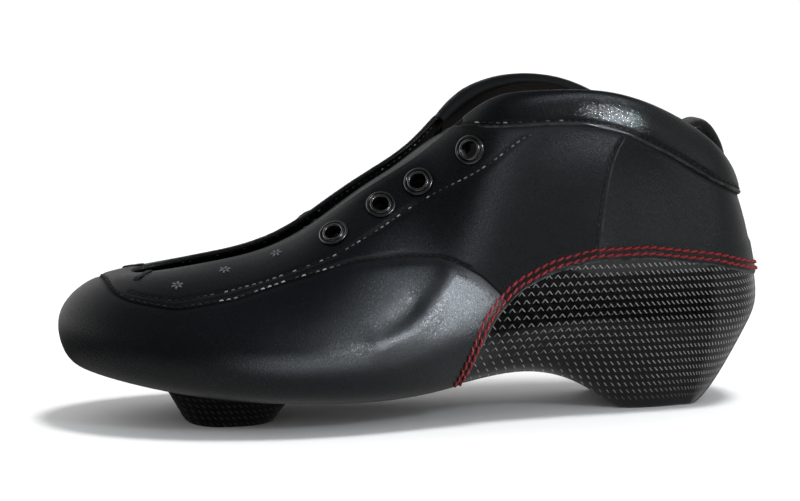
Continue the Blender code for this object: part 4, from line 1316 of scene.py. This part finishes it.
class BOOT_OT_stitching(bpy.types.Operator):
    """Red double row round the heel, and the dark rows of the facing, counter and collar"""

    bl_idname = "boot.stitching"
    bl_label = "Stitching"

    def execute(self, context):
        size = sizes()
        red, dark = Form(), Form()
        rise, pitch, thread = size["facing_rise"], size["dark_pitch"], size["dark_thread"]
        # Painted glints on the dark rows, by seam: how pale their lightest stitches are painted.
        glint_strength = {
            "vamp": lambda along: np.clip((along - 15) / 5, 0.05, 1) * np.clip((38 - along) / 4, 0.03, 1),
            "eyelets": lambda along: 0.7 * np.clip((along - 16) / 6, 0.05, 1),
            "counter": 0.08,
        }
        u = np.linspace(LAST.u_at(RED_ROW_FRONT), 1 - LAST.u_at(RED_ROW_FRONT), 700)
        edge = LAST.point(u, leather_edge_v(u))
        edge = edge[edge[:, 2] > high(RED_ROW_FOOT)]
        for row in range(2):
            line = beside(edge, size["red_edge"] + row * size["red_gap"], -1)
            sew(red, laid(line, size["red_pitch"]), size["red_length"], size["red_thread"], rise + 0.05,
                math.radians(12), 9, 10)
        red.piece("red_stitches", ("red_thread",), "leather")
        for side in (-1, 1):
            for name, line in stitch_lines(side).items():
                sew(dark, laid(line, pitch), pitch * DARK_STITCH, thread, rise - 0.25, pale=glint_strength[name])
            throat = mirrored(np.linspace(LAST.u_at(7.0, 1.0), LAST.u_at(53.0, 1.0), 260), side)
            row = beside(LAST.point(throat, np.ones(len(throat))), -THROAT_STITCH, side)
            places, out = laid(row, pitch)
            # The throat row carries full painted glints.
            sew(dark, (places - out * LEATHER, -out), pitch * 0.6, thread, 0.1, pale=1.0)
        front = LAST.u_at(CUFF_FRONT + 1.5, 0.9)
        u = np.linspace(front, 1 - front, 500)
        line = beside(LAST.point(u, LAST.v_on_line(u, CUFF_LINE)), 1.9, -1)
        # The collar row carries painted glints towards the front only.
        sew(dark, laid(line, pitch), pitch * DARK_STITCH, thread, 1.0,
            pale=lambda along: np.where(along < 68, 0.5, 0.03))
        dark.piece("dark_stitches", ("dark_thread",), "leather")
        return {"FINISHED"}


def spot(along, level, height, side):
    """u and v of a place in the side view, each as an array of one."""
    u = mirrored(np.array([LAST.u_at(along, level)]), side)
    return u, LAST.v_on_line(u, ((0.0, height), (100.0, height)))


class BOOT_OT_marks(bpy.types.Operator):
    """Star-shaped vents on the facing and the bar tack at its front"""

    bl_idname = "boot.marks"
    bl_label = "Vents and Bar Tack"

    def execute(self, context):
        vents, tack = Form(), Form()
        turns = turns_of(RING_POINTS)
        reach = np.linspace(0.12, 1.0, 9)[:, None]
        arms = 0.5 + 0.5 * np.cos(6 * turns)
        radius = 2.5 * reach * (0.55 + 0.45 * arms)
        up = 0.34 * arms * np.sin(np.pi * reach) - 0.5 * (1 - reach) ** 2 - 0.25 * reach**4
        star = np.stack([radius * np.cos(turns), radius * np.sin(turns), up + 0.25], -1)
        rise = sizes()["facing_rise"]
        for side in (-1, 1):
            for along, height in VENTS:
                u, v = spot(along, 0.75, height, side)
                centre, out = LAST.skin(u, v, rise)[0], LAST.normal(u, v)[0]
                # Painted shade darkens the middle of each star.
                vents.grid(centre + star @ tilt_to(out).T, True, 0, stamp=arms * (1 - reach**4),
                           groove=0.8 * bell(reach, 0.3))
            u, v = spot(BAR_TACK[0], 0.85, BAR_TACK[1], side)
            span = np.linspace(-0.035, 0.035, 8)
            for shift in np.linspace(-0.0022, 0.0022, 7):
                line = LAST.point(u + shift, v + span)
                # The bar tack threads carry faint painted glints.
                sew(tack, laid(line, 6.0), 5.6, 0.33, rise + 0.3, rings=9, sides=8, pale=0.25)
        vents.piece("vent_marks", ("satin_leather",), "leather")
        tack.piece("bar_tacks", ("dark_thread",), "leather")
        return {"FINISHED"}


class BOOT_OT_stage(bpy.types.Operator):
    """Pale floor, soft studio light and the camera of the photograph"""

    bl_idname = "boot.stage"
    bl_label = "Stage"

    def lamp(self, name, kind, where, aim, **values):
        light = bpy.data.lights.new(name, kind)
        for key, value in values.items():
            setattr(light, key, value)
        obj = bpy.data.objects.new(name, light)
        bpy.context.scene.collection.objects.link(obj)
        obj.location = where
        obj.rotation_euler = (Vector(aim) - Vector(where)).to_track_quat("-Z", "Y").to_euler()
        return obj

    def aim_at(self, lamp, *names):
        """Keeps a light to the named pieces."""
        group = bpy.data.collections.new(lamp.name + "_on")
        for name in names:
            group.objects.link(bpy.data.objects[name])
        lamp.light_linking.receiver_collection = group

    def sheet(self, name, points, faces, finish):
        mesh = bpy.data.meshes.new(name)
        mesh.from_pydata(points, [], faces)
        mesh.materials.append(bpy.data.materials[finish])
        obj = bpy.data.objects.new(name, mesh)
        bpy.context.scene.collection.objects.link(obj)
        return obj

    def execute(self, context):
        scene = context.scene
        corners = [(x * FLOOR_REACH, y * FLOOR_REACH, 0) for x, y in ((-1, -1), (1, -1), (1, 1), (-1, 1))]
        floor = self.sheet("floor", corners, [(0, 1, 2, 3)], "studio_paper")
        floor.visible_glossy = False
        turns, rises = turns_of(RING_POINTS), np.radians(np.linspace(-2, 88, 16))[:, None]
        level = np.cos(rises)
        dome = np.stack([np.cos(turns) * level, np.sin(turns) * level, np.sin(rises) + 0 * turns], -1)
        index = np.arange(dome.size // 3).reshape(dome.shape[:2])
        right = np.roll(index, -1, axis=1)
        quads = np.stack([index[:-1], index[1:], right[1:], right[:-1]], -1).reshape(-1, 4)
        sky = self.sheet("backdrop", (dome.reshape(-1, 3) * BACKDROP_REACH).tolist(), quads.tolist(), "studio_backdrop")
        for ray in ("glossy", "diffuse", "transmission", "shadow"):
            setattr(sky, "visible_" + ray, False)
        for lamp in LAMPS:
            light = self.lamp(
                lamp.name, "AREA", lamp.where, lamp.aim, energy=lamp.energy, shape="RECTANGLE", size=lamp.sides[0],
                size_y=lamp.sides[1], spread=math.radians(lamp.cone), color=lamp.color)
            if lamp.pieces:
                self.aim_at(light, *lamp.pieces)
        sun = self.lamp("overhead", "SUN", (0.25, -0.12, 1.2), (0, 0, 0), energy=1.95, angle=math.radians(13))
        fill = self.lamp("fill", "SUN", (-0.1, -0.3, 1.2), (0, 0, 0), energy=1.75, angle=math.radians(150))
        for light in (sun, fill):
            light.visible_glossy = False
        world = bpy.data.worlds.new("studio")
        world.use_nodes = True
        scene.world = world
        tree = Tree(world.node_tree)
        x, y, z = tree.axes(tree.node("ShaderNodeTexCoord", output="Generated"))
        above = z.step(-0.3, 0.05)
        back = above * (y.step(0.05, 0.7) * 0.18 + (y - x).step(0.5, 1.3) * 0.40)
        glow = 0.042 + back + x.step(0.56, 0.68) * 0.34 + (-z).step(0.38, 0.65) * 0.22
        shown = world.node_tree.nodes["Background"]
        tree.feed(shown.inputs["Color"], tree.node("ShaderNodeCombineColor", None, {0: glow, 1: glow, 2: glow}))
        camera = bpy.data.cameras.new("camera")
        camera.lens, camera.sensor_width, camera.shift_y = LENS, SENSOR, VIEW_SHIFT
        obj = bpy.data.objects.new("camera", camera)
        scene.collection.objects.link(obj)
        around, up = math.radians(VIEW_AZIMUTH), math.radians(VIEW_ELEVATION)
        back = Vector((math.sin(around) * math.cos(up), -math.cos(around) * math.cos(up), math.sin(up)))
        obj.location = Vector(VIEW_TARGET) + back * VIEW_DISTANCE
        obj.rotation_euler = back.to_track_quat("Z", "Y").to_euler()
        scene.camera = obj
        scene.view_settings.view_transform = "Standard"
        return {"FINISHED"}


PIECES = (
    BOOT_OT_shell, BOOT_OT_upper, BOOT_OT_facing, BOOT_OT_collar, BOOT_OT_tongue, BOOT_OT_footbed, BOOT_OT_loop,
    BOOT_OT_eyelets, BOOT_OT_stitching, BOOT_OT_marks, BOOT_OT_stage,
)


class BOOT_PT_sidebar(bpy.types.Panel):
    """Lists the pieces of the boot"""

    bl_idname = "BOOT_PT_sidebar"
    bl_label = "Speed Skating Boot"
    bl_space_type = "VIEW_3D"
    bl_region_type = "UI"
    bl_category = "Boot"

    def draw(self, context):
        for group in (context.scene.boot_sizes, context.scene.boot_colours):
            for name in type(group).__annotations__:
                self.layout.prop(group, name)
        for piece in PIECES:
            self.layout.operator(piece.bl_idname)


CLASSES = (BootSizes, BootColours, *PIECES, BOOT_PT_sidebar)


def register():
    for item in CLASSES:
        bpy.utils.register_class(item)
    bpy.types.Scene.boot_sizes = PointerProperty(type=BootSizes)
    bpy.types.Scene.boot_colours = PointerProperty(type=BootColours)


def unregister():
    del bpy.types.Scene.boot_colours
    del bpy.types.Scene.boot_sizes
    for item in reversed(CLASSES):
        bpy.utils.unregister_class(item)


def main():
    register()
    make_finishes()
    for piece in PIECES:
        group, name = piece.bl_idname.split(".")
        getattr(getattr(bpy.ops, group), name)()


if __name__ == "__main__":
    main()
